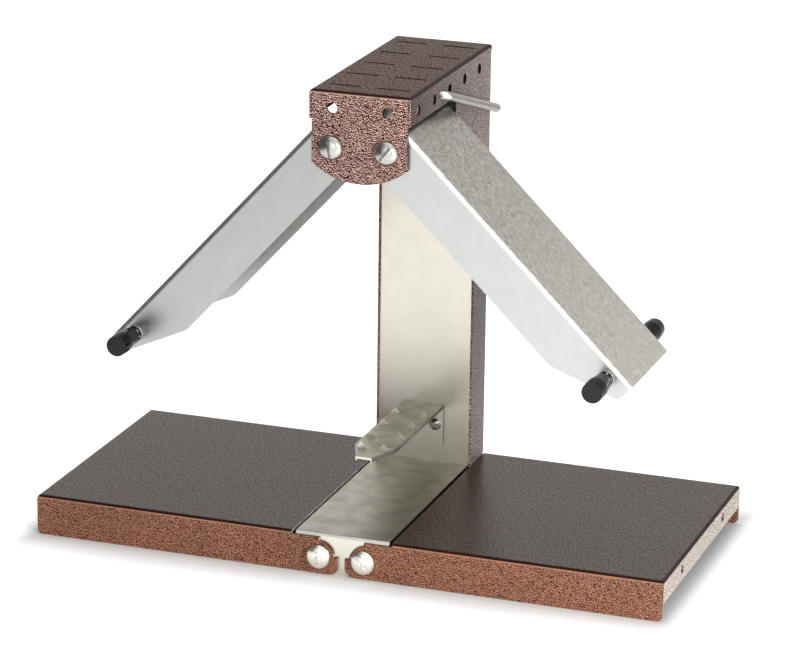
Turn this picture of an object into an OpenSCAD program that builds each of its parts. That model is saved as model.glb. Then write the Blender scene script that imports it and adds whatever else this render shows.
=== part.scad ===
// Table-top raclette machine with two hinged heating arms, two fold-down base wings and a
// carrying handle. Millimetres, +Z up, +Y to the back, origin under the middle of the machine.
// Y sizes are measured from the front face of the base until stand_frame() moves them.

/* [Base] */
// Width over both wings
base_w = 450; // [420:1:500]
// Depth over the front and back flanges
base_d = 198; // [192:1:230]
// Height of the plate tops above the table
base_h = 28.5; // [27:0.5:34]
// Thickness of the wing and centre sheets
base_sheet = 1.5; // [1.2:0.1:1.8]
// Outer radius of the folds
fold_r = 2.5; // [2.2:0.1:3]
// Depth of the short flange at the outer end of a wing
end_flange = 16; // [12:0.5:20]
// Radius of the lower flange corners
flange_corner = 4.5; // [2:0.5:8]
// Distance of each wing pivot from the middle
wing_pivot_x = 16; // [15.5:0.1:17]
// Height of the wing pivots
wing_pivot_z = 12.7; // [11:0.1:14]
// Radius of the rounded ear at a wing pivot
ear_r = 10.5; // [8:0.1:12]
// Gap between the two ears
ear_gap = 4.6; // [4:0.1:8]
// Radius of the lower inner corner of an ear
ear_corner = 7; // [6:0.1:8]
// Radius of the two holes in an end flange
end_hole_r = 3; // [2:0.1:4]
// Spacing of the two holes in an end flange
end_hole_pitch = 105; // [80:1:130]

/* [Column] */
// Width of the column and the head
column_w = 71; // [69:0.5:76]
// Depth of the column
column_d = 31.6; // [28:0.2:36]
// Thickness of the painted sheet of column and head
body_sheet = 1.5; // [1.2:0.1:1.8]
// Thickness of the stainless liner in front
liner_sheet = 1; // [0.8:0.1:1.2]
// Depth of the liner behind the column's front edges
liner_inset = 1; // [0.5:0.1:2]
// Set-back of the liner's top edge below the head's face
liner_drop = 4.5; // [2:0.5:20]

/* [Head] */
// Overall height
head_h = 329; // [325:1:345]
// Set-back of the head's front from the base's front
head_set_back = 28; // [20:1:34]
// Depth of the side skirts along the arms
skirt_drop = 19.8; // [18:0.1:21]
// Depth of the front plate at its middle
face_drop = 61.8; // [56:0.1:66]
// Rise of the front plate's lower arc
face_arc_rise = 12.3; // [8:0.1:18]
// Radius of the holes in the front plate and the skirts
vent_r = 3.65; // [2.5:0.05:4.5]
// Height of the skirt holes below the top
vent_drop = 11.6; // [9:0.1:13]
// Distance of the first skirt hole from the head's front
vent_first = 15.8; // [12:0.1:20]
// Distance of the last skirt hole from the back
vent_last = 27.8; // [24:0.1:32]
// Length of a top slot
slot_len = 23; // [15:0.5:26]
// Width of a top slot
slot_w = 2.4; // [1.5:0.1:4]
// Distance between the two columns of top slots
slot_column_gap = 11.4; // [8:0.1:14]
// Distance of the first and the last row of top slots from the head's ends
slot_margin = 18.4; // [14:0.1:22]
// Depth of the head's side plates behind the inner bulkhead, at their foot
seam_foot_d = 27; // [20:0.5:36]

/* [Arms] */
// Distance of each arm pivot from the middle
arm_pivot_x = 19.35; // [19.2:0.05:20]
// Height of the arm pivots below the top
arm_pivot_drop = 38.4; // [37.8:0.1:40]
// Slope of the right arm at rest
right_tilt = 44.4; // [35:0.1:60]
// Slope of the left arm at rest
left_tilt = 47.7; // [35:0.1:60]
// Length of an arm from its pivot
arm_len = 222; // [205:1:228]
// Width of an arm
arm_w = 88; // [80:0.5:92]
// Thickness of an arm's sheet
arm_sheet = 1.2; // [1:0.1:1.5]
// Outer radius of an arm's folds
arm_fold_r = 3.5; // [2.4:0.1:4]
// Distance of an arm's top face from its pivot
arm_top = 18.2; // [17:0.1:18.5]
// Distance of an arm's lower edge from its pivot
arm_low = 15.8; // [14:0.1:17]
// Length of the chamfer under the arm's free end
chamfer_len = 47; // [34:1:60]
// Height of the arm's end below its top face
end_depth = 13.6; // [11:0.1:18]
// Radius of the chamfer's lower corner
chamfer_r = 9; // [4:0.5:12]
// Radius of the arm's end corner
end_corner_r = 4; // [2:0.5:6]

/* [Heating] */
// Radius of the sheathed heating element
element_r = 3.25; // [3:0.05:4]
// Spacing of the element's two legs
element_pitch = 46; // [36:1:52]
// Start of the element along the arm
element_start = 30; // [26:1:36]
// Distance of the element's bend from the arm's free end
element_inset = 36; // [30:1:50]
// Thickness of the reflector
reflector_sheet = 0.8; // [0.6:0.1:1]
// Thickness of the element brackets
bracket_sheet = 1.5; // [1:0.1:2]

/* [Knobs] */
// Distance of the knobs from the arm's free end
knob_inset = 16; // [14:0.5:19]
// Offset of the knobs from the pivot line
knob_off = 8; // [7:0.1:9]
// Radius of a knob at its outer end
knob_r = 7.5; // [6.8:0.1:9]
// Radius of a knob at its neck
knob_neck_r = 6.1; // [5:0.1:6.6]
// Length of a knob
knob_len = 25; // [20:0.5:32]

/* [Tray] */
// Height of the tray's floor
tray_z = 71.5; // [66:0.5:74]
// Set-back of the tray's tip from the base's front
tray_front = 42; // [36:1:60]
// Width of the tray
tray_w = 30; // [24:0.5:32]
// Width of the tray's tip
tray_tip_w = 11.6; // [8:0.2:16]
// Length of the tapered tip
tray_taper = 24; // [16:0.5:30]
// Thickness of the tray's sheet
tray_sheet = 1.5; // [1:0.1:2]
// Depth of the tray's lips
tray_lip = 2.8; // [2.2:0.1:5]
// Height of the spikes
spike_h = 4; // [3:0.1:5]
// Width of a spike at its foot
spike_w = 6; // [4:0.1:7]
// Distance of the first pair of spikes from the tray's tip
spike_first = 17; // [12:0.5:22]
// Distance of the last pair of spikes from the column
spike_last = 33; // [20:0.5:40]
// Height of the plate that carries the tray
tray_foot_h = 30; // [24:0.5:34]

/* [Handle] */
// Radius of the handle's rod
handle_r = 3; // [2.5:0.1:3.2]
// Slope of the handle at rest
handle_slope = 17.2; // [15:0.1:20]
// Place of the handle's pivot, counted in skirt holes from the first
handle_place = 1.42; // [1.3:0.01:1.7]
// Gap between the handle's legs and the head
handle_side_gap = 2; // [1.5:0.1:3]
// Radius of the bends along the rod's middle
handle_bend_r = 8; // [6:0.5:10]

/* [Screws] */
// Radius of the pivot screws' and bolts' shanks
shank_r = 4; // [3.5:0.1:4.2]
// Radius of the domed heads of the arm pivots
dome_r = 7.9; // [7:0.1:8.4]
// Radius of the domed heads of the wing bolts
bolt_dome_r = 7.2; // [6.5:0.1:8]
// Height of the domed heads
dome_h = 5; // [3.5:0.1:5.5]
// Width of the screwdriver slots
driver_slot_w = 1.6; // [1:0.1:2]
// Depth of the screwdriver slots
driver_slot_d = 1.5; // [1:0.1:2]
// Distance across the flats of the large nuts
nut_flats = 13; // [12:0.1:14]
// Thickness of the large nuts
nut_h = 6; // [4:0.1:6.5]
// Thickness of the friction washers
washer_t = 1.2; // [0.8:0.1:1.5]
// Radius of the friction washers
washer_r = 9; // [8.5:0.1:9.3]

/* [Wiring] */
// Height of the cable gland on the back
gland_z = 70; // [60:1:90]
// Radius of the gland's body
gland_r = 8; // [6:0.5:9]
// Width of the terminal block
terminal_w = 42; // [36:1:46]

/* [Hidden] */
$fn = 64;

// Colours
hammered = "#7a5248";
hammered_dark = "#4e443f";
stainless = "#cfcbc0";
bright_steel = "#dedbd3";
black_knob = "#1c1b1b";
ceramic = "#e8e4d8";
sheath = "#6d6a62";

// Clearances and overruns
over = 1;             // how far a cut runs past the face that it opens
run_play = 0.05;      // radial play of a shank in a turning part
body_play = 0.3;      // gap between faces that move past each other
seam_gap = 0.3;       // open line of a folded corner or a butt joint
wing_play = 0.5;      // gap between the column's side and a wing
seat_play = 0.1;      // radial play of a fixed shank in its hole

// Places that follow from the driving sizes
liner_top = head_h - face_drop - liner_drop;
chamfer_start = arm_len - chamfer_len;
element_end = arm_len - element_inset;
knob_along = arm_len - knob_inset;
column_half = column_w / 2;
column_front = base_d - column_d;
wing_in = column_half + wing_play;
centre_half = column_half - body_sheet - wing_play;
wing_out = base_w / 2;
centre_front = base_sheet + body_play;
centre_back = base_d - centre_front;
ear_top = base_h - fold_r;
head_front = head_set_back;
skirt_z = head_h - skirt_drop;
face_z = head_h - face_drop;
face_half = column_half - body_sheet - seam_gap;
arm_pivot_z = head_h - arm_pivot_drop;
slot_rows = 5;
vent_pitch = (base_d - head_front - vent_first - vent_last) / (slot_rows - 1);
slot_pitch = (base_d - head_front - slot_margin * 2) / (slot_rows - 1);
handle_pivot_y = head_front + vent_first + handle_place * vent_pitch;
arm_front = head_front + body_sheet + washer_t + body_play;
arm_back = arm_front + arm_w;
bulkhead_front = arm_back + body_play + washer_t;
bulkhead_sheet = body_sheet;
handle_pivot_z = head_h - vent_drop;
handle_leg_x = column_half + handle_side_gap + handle_r;
handle_back = base_d + body_play + handle_r;
handle_reach = (handle_back - handle_pivot_y) / cos(handle_slope);
knob_nut_h = 5;
knob_nut_flats = 9;
knob_washer_t = 1;
knob_washer_r = 5.6;
knob_reach = knob_washer_t + knob_nut_h + knob_len;

// The machine stands with its origin under the middle of its outline
gland_flange_t = 2;
gland_neck = 12;
front_reach = max(body_play + dome_h, knob_reach - arm_front);
back_reach = max(handle_back + handle_r, base_d + body_play + dome_h, base_d + gland_flange_t + gland_neck);
middle_y = (back_reach - front_reach) / 2;

module stand_frame() {
    translate([0, -middle_y, 0]) children();
}

// An arm's own frame has X down the arm, Z out of its top face and the pivot at its origin
module arm_frame(side, tilt) {
    stand_frame() mirror([side < 0 ? 1 : 0, 0, 0])
        translate([arm_pivot_x, 0, arm_pivot_z]) rotate([0, tilt, 0]) children();
}

// Shared shapes
module along_x(x0, x1) {
    translate([x0, 0, 0]) rotate([90, 0, 90]) linear_extrude(x1 - x0) children();
}

module along_y(y0, y1) {
    translate([0, y1, 0]) rotate([90, 0, 0]) linear_extrude(y1 - y0) children();
}

module rod_y(r, y0, y1) {
    translate([0, y0, 0]) rotate([-90, 0, 0]) cylinder(r = r, h = y1 - y0);
}

module rod_x(r, x0, x1) {
    translate([x0, 0, 0]) rotate([0, 90, 0]) cylinder(r = r, h = x1 - x0);
}

module block(x0, x1, y0, y1, z0, z1) {
    translate([x0, y0, z0]) cube([x1 - x0, y1 - y0, z1 - z0]);
}

// A rectangle whose low and high top corners can be rounded
module folded_outline(a0, a1, z0, z1, r, round_low, round_high) {
    difference() {
        translate([a0, z0]) square([a1 - a0, z1 - z0]);
        if (round_low) translate([a0 + r, z1 - r]) corner_waste(r, -1);
        if (round_high) translate([a1 - r, z1 - r]) corner_waste(r, 1);
    }
}

module corner_waste(r, side) {
    difference() {
        translate([side < 0 ? -r - over : 0, 0]) square([r + over, r + over]);
        circle(r);
    }
}

function arc_points(cx, cy, r, a0, a1, steps) =
    [for (i = [0 : steps]) let (a = a0 + (a1 - a0) * i / steps) [cx + r * cos(a), cy + r * sin(a)]];

// A domed, slotted head that stands towards -Y from the plane y = 0
module dome_head(r, h, turn) {
    ball_r = (r * r + h * h) / (2 * h);
    difference() {
        intersection() {
            translate([0, ball_r - h, 0]) sphere(ball_r);
            rod_y(r, -h - over, 0);
        }
        rotate([0, turn, 0])
            block(-driver_slot_w / 2, driver_slot_w / 2, -h - over, -h + driver_slot_d, -r - over, r + over);
    }
}

module hex_y(flats, y0, y1, bore_r) {
    difference() {
        translate([0, y0, 0]) rotate([-90, 0, 0]) cylinder(d = flats / cos(30), h = y1 - y0, $fn = 6);
        rod_y(bore_r, y0 - over, y1 + over);
    }
}

module ring_y(r, y0, y1, bore_r) {
    difference() {
        rod_y(r, y0, y1);
        rod_y(bore_r, y0 - over, y1 + over);
    }
}

// Base: the centre channel and the two wings
module centre_channel() {
    color(stainless) stand_frame() difference() {
        along_x(-centre_half, centre_half)
            folded_outline(centre_front, centre_back, 0, base_h, fold_r, true, true);
        along_x(-centre_half - over, centre_half + over)
            folded_outline(centre_front + base_sheet, centre_back - base_sheet, -over,
                base_h - base_sheet, fold_r - base_sheet, true, true);
        for (side = [-1, 1])
            translate([side * wing_pivot_x, 0, wing_pivot_z])
                rod_y(shank_r + seat_play, centre_front - over, centre_back + over);
    }
}

// Outline of the flange inboard of a wing's plate: ear, tab and lower corner
module ear_outline() {
    tab_in = ear_gap / 2;
    translate([wing_pivot_x, 0]) square([wing_in + fold_r - wing_pivot_x, ear_top]);
    translate([wing_pivot_x, wing_pivot_z]) circle(ear_r);
    difference() {
        translate([tab_in, 0]) square([wing_pivot_x - tab_in, wing_pivot_z]);
        translate([tab_in + ear_corner, ear_corner]) mirror([0, 1]) corner_waste(ear_corner, -1);
    }
}

module wing_outer(inset) {
    intersection() {
        along_x(wing_in - inset * 2, wing_out - inset)
            folded_outline(inset, base_d - inset, -inset, base_h - inset, fold_r - inset, true, true);
        along_y(0, base_d)
            folded_outline(wing_in - inset * 2, wing_out - inset, -inset, base_h - inset,
                fold_r - inset, false, true);
    }
}

module right_wing_shape() {
    end_z = base_h - end_flange;
    hole_z = base_h - end_flange / 2;
    difference() {
        union() {
            difference() {
                wing_outer(0);
                wing_outer(base_sheet);
            }
            for (y0 = [0, base_d - base_sheet]) along_y(y0, y0 + base_sheet) ear_outline();
        }
        block(wing_out - base_sheet - over, wing_out + over, base_sheet, base_d - base_sheet, -over, end_z);
        for (y0 = [base_sheet, base_d - base_sheet - seam_gap])
            block(wing_out - base_sheet, wing_out + over, y0, y0 + seam_gap, -over, base_h - fold_r);
        along_y(-over, base_d + over)
            translate([wing_out - flange_corner, flange_corner]) mirror([0, 1]) corner_waste(flange_corner, 1);
        for (s = [-1, 1])
            translate([0, base_d / 2 + s * end_hole_pitch / 2, hole_z])
                rod_x(end_hole_r, wing_out - base_sheet - over, wing_out + over);
        translate([wing_pivot_x, 0, wing_pivot_z]) {
            rod_y(shank_r + run_play, -over, base_sheet + over);
            rod_y(shank_r + run_play, base_d - base_sheet - over, base_d + over);
        }
    }
}

module right_wing() {
    color(hammered_dark) stand_frame() right_wing_shape();
}

module left_wing() {
    color(hammered_dark) stand_frame() mirror([1, 0, 0]) right_wing_shape();
}

// Bolts of the wings: dome outside, shank through ear and channel, nut inside
front_slot_turn = [-9.8, -50.9];
rear_slot_turn = [20, 65];
bolt_tip = 2.5;
bolt_shank = centre_front + base_sheet + nut_h + bolt_tip;

module base_bolt(turn) {
    translate([0, -body_play, 0]) dome_head(bolt_dome_r, dome_h, turn);
    rod_y(shank_r, -body_play, bolt_shank);
}

module front_base_bolts() {
    color(bright_steel) stand_frame() for (i = [0, 1])
        translate([(i * 2 - 1) * wing_pivot_x, 0, wing_pivot_z]) base_bolt(front_slot_turn[i]);
}

module rear_base_bolts() {
    color(bright_steel) stand_frame() for (i = [0, 1])
        translate([(i * 2 - 1) * wing_pivot_x, base_d, wing_pivot_z])
            rotate([0, 0, 180]) base_bolt(rear_slot_turn[i]);
}

module base_nuts() {
    y0 = centre_front + base_sheet;
    color(bright_steel) stand_frame() for (side = [-1, 1])
        translate([side * wing_pivot_x, 0, wing_pivot_z]) {
            hex_y(nut_flats, y0, y0 + nut_h, shank_r);
            hex_y(nut_flats, base_d - y0 - nut_h, base_d - y0, shank_r);
        }
}

// Column: a painted U channel whose sides carry a nose under the head
seam_top_z = head_h - fold_r - body_sheet;
nose_z = face_z;
column_foot_z = 3;
column_wall_z = base_h + body_play * 2;
nose_slope_h = 21;
seam_angle = atan((seam_top_z - face_z) / (base_d - bulkhead_front - seam_foot_d));
function seam_y(z) = base_d - (seam_top_z - z) / tan(seam_angle);

module column_side_outline() {
    seam_shift = seam_gap / sin(seam_angle);
    polygon([
        [column_front, column_foot_z],
        [centre_back - base_sheet - body_play, column_foot_z],
        [centre_back - base_sheet - body_play, column_wall_z],
        [base_d, column_wall_z],
        [base_d, seam_top_z],
        [seam_y(nose_z) + seam_shift, nose_z],
        [column_front, nose_z - nose_slope_h]
    ]);
}

module column() {
    nose_front = seam_y(nose_z);
    inner_half = column_half - body_sheet;
    color(hammered) stand_frame() difference() {
        intersection() {
            translate([0, 0, column_foot_z]) linear_extrude(seam_top_z - column_foot_z)
                folded_outline(-column_half, column_half, nose_front, base_d, fold_r, true, true);
            along_x(-column_half, column_half) column_side_outline();
        }
        translate([0, 0, column_foot_z - over]) linear_extrude(seam_top_z - column_foot_z + over * 2)
            folded_outline(-inner_half, inner_half, nose_front - over, base_d - body_sheet,
                fold_r - body_sheet, true, true);
        translate([0, 0, gland_z]) rod_y(gland_r * 0.75 + seat_play, base_d - body_sheet - over, base_d + over);
    }
}

// Stainless liner: the bright front of the column
liner_flange = 14;
tray_screw_r = 2.5;
tray_screw_x = 9;
tray_screw_z = tray_z - tray_foot_h / 2;

module liner_section() {
    half = column_half - body_sheet;
    difference() {
        translate([-half, column_front + liner_inset]) square([half * 2, liner_flange]);
        translate([-half + liner_sheet, column_front + liner_inset + liner_sheet])
            square([(half - liner_sheet) * 2, liner_flange + over]);
    }
}

module column_liner() {
    color(stainless) stand_frame() difference() {
        translate([0, 0, base_h]) linear_extrude(liner_top - base_h) liner_section();
        for (side = [-1, 1]) translate([side * tray_screw_x, column_front, tray_screw_z])
            rod_y(tray_screw_r + seat_play, -over, liner_inset + liner_sheet + over);
    }
}

// Bracket under the centre plate that ties the column's sides together
foot_sheet = 2;
foot_front_gap = 3;
foot_d = 22;

module column_foot() {
    half = column_half - body_sheet;
    y0 = column_front + foot_front_gap;
    top = base_h - base_sheet;
    color(stainless) stand_frame() difference() {
        block(-half, half, y0, y0 + foot_d, column_foot_z, top);
        block(-half + foot_sheet, half - foot_sheet, y0 - over, y0 + foot_d + over, column_foot_z - over,
            top - foot_sheet);
    }
}

// Head: one folded cover with an arched face, skirts and a seam against the column
module head_outer(inset) {
    half = column_half - inset;
    r = fold_r - inset;
    intersection() {
        along_y(head_front + inset, base_d - inset)
            folded_outline(-half, half, face_z - inset * 2, head_h - inset, r, true, true);
        along_x(-half, half)
            folded_outline(head_front + inset, base_d - inset, face_z - inset * 2, head_h - inset, r, true, true);
    }
}

module head_side_outline() {
    polygon([
        [head_front, skirt_z],
        [head_front, head_h],
        [base_d, head_h],
        [base_d, seam_top_z + seam_gap],
        [base_d - body_sheet, seam_top_z + seam_gap],
        [seam_y(seam_top_z) - body_sheet, seam_top_z - body_sheet * tan(seam_angle) + seam_gap],
        [seam_y(face_z), face_z],
        [bulkhead_front, face_z],
        [bulkhead_front, skirt_z]
    ]);
}

module face_outline() {
    arc_r = (face_half * face_half + face_arc_rise * face_arc_rise) / (2 * face_arc_rise);
    intersection() {
        translate([-face_half, face_z]) square([face_half * 2, face_drop]);
        union() {
            translate([-face_half, face_z + face_arc_rise]) square([face_half * 2, face_drop]);
            translate([0, face_z + arc_r]) circle(arc_r);
        }
    }
}

module head_slots() {
    for (side = [-1, 1], i = [0 : slot_rows - 1])
        translate([side * (slot_column_gap + slot_len) / 2, head_front + slot_margin + i * slot_pitch, 0]) {
            block(-slot_len / 2 + slot_w / 2, slot_len / 2 - slot_w / 2, -slot_w / 2, slot_w / 2,
                head_h - body_sheet - over, head_h + over);
            for (e = [-1, 1]) translate([e * (slot_len - slot_w) / 2, 0, head_h - body_sheet - over])
                cylinder(d = slot_w, h = body_sheet + over * 2);
        }
}

module head_holes() {
    for (i = [0 : slot_rows - 1])
        translate([0, head_front + vent_first + i * vent_pitch, head_h - vent_drop])
            rod_x(vent_r, -column_half - over, column_half + over);
    for (side = [-1, 1])
        translate([side * arm_pivot_x, 0, 0]) {
            translate([0, 0, head_h - vent_drop]) rod_y(vent_r, head_front - over, head_front + body_sheet + over);
            translate([0, 0, arm_pivot_z]) rod_y(shank_r + seat_play, head_front - over, head_front + body_sheet + over);
        }
    translate([0, handle_pivot_y, handle_pivot_z])
        rod_x(handle_r + run_play, -column_half - over, column_half + over);
}

module head_cover() {
    slit_x = column_half - body_sheet - seam_gap;
    color(hammered) stand_frame() difference() {
        union() {
            intersection() {
                difference() {
                    head_outer(0);
                    head_outer(body_sheet);
                }
                along_x(-column_half, column_half) head_side_outline();
            }
            along_y(head_front, head_front + body_sheet) intersection() {
                face_outline();
                translate([-face_half, face_z]) square([face_half * 2, face_drop - fold_r]);
            }
        }
        for (side = [-1, 1])
            block(min(side * slit_x, side * (slit_x + seam_gap)), max(side * slit_x, side * (slit_x + seam_gap)),
                head_front - over, head_front + body_sheet, face_z - over, head_h - fold_r);
        head_slots();
        head_holes();
    }
}

// Plates inside the seam: each is spot-welded to the head's side and to the column's side
seam_plate_reach = 9;
seam_plate_rise = 6;
seam_plate_h = 38;
seam_plate_low = face_z + seam_plate_rise;
seam_plate_high = seam_plate_low + seam_plate_h;

function seam_plate_back(z) = min(seam_y(z) + seam_plate_reach, base_d - body_sheet);

module seam_plates() {
    color(stainless) stand_frame() for (side = [-1, 1]) {
        inner = column_half - body_sheet;
        along_x(side > 0 ? inner - foot_sheet : -inner, side > 0 ? inner : -inner + foot_sheet)
            polygon([
                [seam_y(seam_plate_low) - seam_plate_reach, seam_plate_low],
                [seam_plate_back(seam_plate_low), seam_plate_low],
                [seam_plate_back(seam_plate_high), seam_plate_high],
                [seam_y(seam_plate_high) - seam_plate_reach, seam_plate_high]
            ]);
    }
}

// Bulkhead inside the head, behind the arms: carries the far ends of the pivot screws
bulkhead_flange = 12;
lead_hole_r = 5;
lead_hole_z = head_h - body_sheet - fold_r - lead_hole_r * 2;
terminal_h = 15;
terminal_d = 15;
terminal_lift = 1.5;
terminal_z = face_z + terminal_lift + terminal_h / 2;
terminal_screw_r = 1.75;
terminal_screw_x = terminal_w / 2 - terminal_screw_r * 2;

module pivot_bulkhead() {
    half = column_half - body_sheet;
    top = head_h - body_sheet;
    y1 = bulkhead_front + bulkhead_sheet;
    color(stainless) stand_frame() difference() {
        block(-half, half, bulkhead_front, y1 + bulkhead_flange, face_z, top - fold_r);
        block(-half + bulkhead_sheet, half - bulkhead_sheet, y1, y1 + bulkhead_flange + over, face_z - over,
            top + over);
        for (side = [-1, 1]) {
            translate([side * arm_pivot_x, 0, arm_pivot_z]) rod_y(shank_r + seat_play, bulkhead_front - over, y1 + over);
            translate([side * arm_pivot_x, 0, lead_hole_z]) rod_y(lead_hole_r, bulkhead_front - over, y1 + over);
            translate([side * terminal_screw_x, 0, terminal_z])
                rod_y(terminal_screw_r + seat_play, bulkhead_front - over, y1 + over);
        }
    }
}

// Arm pivots: long dome screws from the face through both arm flanges to the bulkhead
head_slot_turn = [-4.6, 32.6];

module pivot_screws() {
    tip = bulkhead_front + bulkhead_sheet + nut_h + bolt_tip;
    color(bright_steel) stand_frame() for (i = [0, 1])
        translate([(i * 2 - 1) * arm_pivot_x, head_front, arm_pivot_z]) {
            dome_head(dome_r, dome_h, head_slot_turn[i]);
            rod_y(shank_r, 0, tip - head_front);
        }
}

module pivot_washers() {
    y0 = head_front + body_sheet;
    color(bright_steel) stand_frame() for (side = [-1, 1])
        translate([side * arm_pivot_x, 0, arm_pivot_z]) {
            ring_y(washer_r, y0, y0 + washer_t, shank_r);
            ring_y(washer_r, bulkhead_front - washer_t, bulkhead_front, shank_r);
        }
}

module pivot_nuts() {
    y0 = bulkhead_front + bulkhead_sheet;
    color(bright_steel) stand_frame() for (side = [-1, 1])
        translate([side * arm_pivot_x, 0, arm_pivot_z]) hex_y(nut_flats, y0, y0 + nut_h, shank_r);
}

// Tray: narrow, with folded lips and two rows of bent-up spikes
tray_back = column_front + liner_inset;
spike_rows = 4;
spike_pitch = (tray_back - tray_front - spike_first - spike_last) / (spike_rows - 1);
spike_sheet = tray_sheet;
spike_tip_share = 0.3;

module tray_outline(inset) {
    half = tray_w / 2 - inset;
    tip = tray_tip_w / 2 - inset * 0.6;
    polygon([
        [-tip, tray_front + inset],
        [tip, tray_front + inset],
        [half, tray_front + tray_taper],
        [half, tray_back],
        [-half, tray_back],
        [-half, tray_front + tray_taper]
    ]);
}

module spike() {
    rise = spike_h + tray_sheet / 2;
    along_y(0, spike_sheet) polygon([
        [-spike_w / 2, -tray_sheet / 2],
        [spike_w / 2, -tray_sheet / 2],
        [spike_w / 2, rise * spike_tip_share],
        [0, rise],
        [-spike_w / 2, rise * spike_tip_share]
    ]);
}

module wedge_tray() {
    color(stainless) stand_frame() {
        difference() {
            union() {
                translate([0, 0, tray_z - tray_lip]) linear_extrude(tray_lip) tray_outline(0);
                block(-tray_w / 2, tray_w / 2, tray_back - tray_sheet, tray_back, tray_z - tray_foot_h, tray_z);
            }
            translate([0, -tray_sheet, tray_z - tray_lip - over]) linear_extrude(tray_lip + over - tray_sheet)
                intersection() {
                    tray_outline(tray_sheet);
                    translate([-tray_w, 0]) square([tray_w * 2, tray_back]);
                }
            for (side = [-1, 1]) translate([side * tray_screw_x, 0, tray_screw_z])
                rod_y(tray_screw_r + seat_play, tray_back - tray_sheet - over, tray_back + over);
            for (side = [-1, 1], i = [0 : spike_rows - 1])
                translate([side * spike_x(i), tray_front + spike_first + i * spike_pitch, 0])
                    block(-spike_w / 2, spike_w / 2, spike_sheet, spike_sheet + spike_h,
                        tray_z - tray_sheet - over, tray_z + over);
        }
        for (side = [-1, 1], i = [0 : spike_rows - 1])
            translate([side * spike_x(i), tray_front + spike_first + i * spike_pitch, tray_z]) spike();
    }
}

// The first pair stands on the taper, the others along the straight sides
function tray_half_at(y) = y < tray_taper
    ? tray_tip_w / 2 + (tray_w - tray_tip_w) / 2 * y / tray_taper
    : tray_w / 2;
function spike_x(i) = tray_half_at(spike_first + i * spike_pitch) - spike_w / 2 - tray_sheet;

tray_dome_r = 4.5;
tray_dome_h = 2.6;
tray_nut_h = 4;
tray_nut_flats = 8;
tray_slot_turn = [15, 70];

module tray_screws() {
    color(bright_steel) stand_frame() for (i = [0, 1])
        translate([(i * 2 - 1) * tray_screw_x, tray_back - tray_sheet, tray_screw_z]) {
            dome_head(tray_dome_r, tray_dome_h, tray_slot_turn[i]);
            rod_y(tray_screw_r, 0, tray_sheet + liner_sheet + tray_nut_h + tray_sheet);
        }
}

module tray_nuts() {
    y0 = tray_back + liner_sheet;
    color(bright_steel) stand_frame() for (side = [-1, 1])
        translate([side * tray_screw_x, 0, tray_screw_z]) hex_y(tray_nut_flats, y0, y0 + tray_nut_h, tray_screw_r);
}

// Wiring: terminal block behind the bulkhead, and the cable gland low on the back
terminal_poles = 3;
terminal_groove = 2;
terminal_head_r = 3.2;
terminal_head_h = 2;

module terminal_block() {
    y0 = bulkhead_front + bulkhead_sheet;
    pole_pitch = (terminal_w - terminal_screw_r * 8) / terminal_poles;
    color(ceramic) stand_frame() difference() {
        block(-terminal_w / 2, terminal_w / 2, y0, y0 + terminal_d, terminal_z - terminal_h / 2,
            terminal_z + terminal_h / 2);
        for (i = [0 : terminal_poles])
            translate([(i - terminal_poles / 2) * pole_pitch, 0, 0])
                block(-terminal_groove / 2, terminal_groove / 2, y0 + terminal_d / 2, y0 + terminal_d + over,
                    terminal_z - terminal_h, terminal_z + terminal_h);
        for (i = [0 : terminal_poles - 1])
            translate([(i - (terminal_poles - 1) / 2) * pole_pitch, 0, terminal_z])
                rod_y(terminal_head_r, y0 + terminal_d * 0.75, y0 + terminal_d + over);
        for (side = [-1, 1]) translate([side * terminal_screw_x, 0, terminal_z])
            rod_y(terminal_screw_r + seat_play, y0 - over, y0 + terminal_d + over);
    }
}

module terminal_screws() {
    y1 = bulkhead_front + bulkhead_sheet + terminal_d;
    color(bright_steel) stand_frame() for (side = [-1, 1])
        translate([side * terminal_screw_x, 0, terminal_z]) {
            rod_y(terminal_screw_r, bulkhead_front, y1);
            translate([0, y1, 0]) mirror([0, 1, 0]) dome_head(terminal_head_r, terminal_head_h, 0);
        }
}

gland_bore_r = 3.6;
gland_thread_r = gland_r * 0.75;
gland_nut_h = 4;

module cable_gland() {
    color(black_knob) stand_frame() translate([0, base_d, gland_z]) difference() {
        union() {
            rod_y(gland_thread_r, -body_sheet - gland_nut_h - gland_flange_t, over / 2);
            rod_y(gland_r * 1.25, 0, gland_flange_t);
            translate([0, gland_flange_t, 0]) rotate([-90, 0, 0])
                rotate_extrude() polygon([[0, 0], [gland_r, 0], [gland_r * 0.8, gland_neck * 0.7],
                    [gland_r * 0.65, gland_neck], [0, gland_neck]]);
        }
        rod_y(gland_bore_r, -body_sheet - gland_nut_h - gland_flange_t - over, gland_flange_t + gland_neck + over);
    }
}

module gland_nut() {
    y1 = base_d - body_sheet;
    color(black_knob) stand_frame() translate([0, 0, gland_z])
        hex_y(gland_r * 2.4, y1 - gland_nut_h, y1, gland_thread_r);
}

// Arm: folded channel, round at the pivot, chamfered under its free end
end_low = arm_top - end_depth;
pivot_round_r = (arm_top + arm_low) / 2;
pivot_round_z = (arm_top - arm_low) / 2;
plate_overhang = 2;
chamfer_angle = atan((end_low + arm_low) / (arm_len - chamfer_start));

// Points of the lower edge from the arm's end back to the flat stretch, both corners rounded
function arm_low_points() =
    let (end_turn = 90 - chamfer_angle,
        start_x = chamfer_start - chamfer_r * tan(chamfer_angle / 2),
        end_x = arm_len - end_corner_r,
        end_z = end_low + end_corner_r * tan(end_turn / 2))
    concat(
        arc_points(end_x, end_z, end_corner_r, 0, -end_turn, 6),
        arc_points(start_x, chamfer_r - arm_low, chamfer_r, chamfer_angle - 90, -90, 6)
    );

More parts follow.
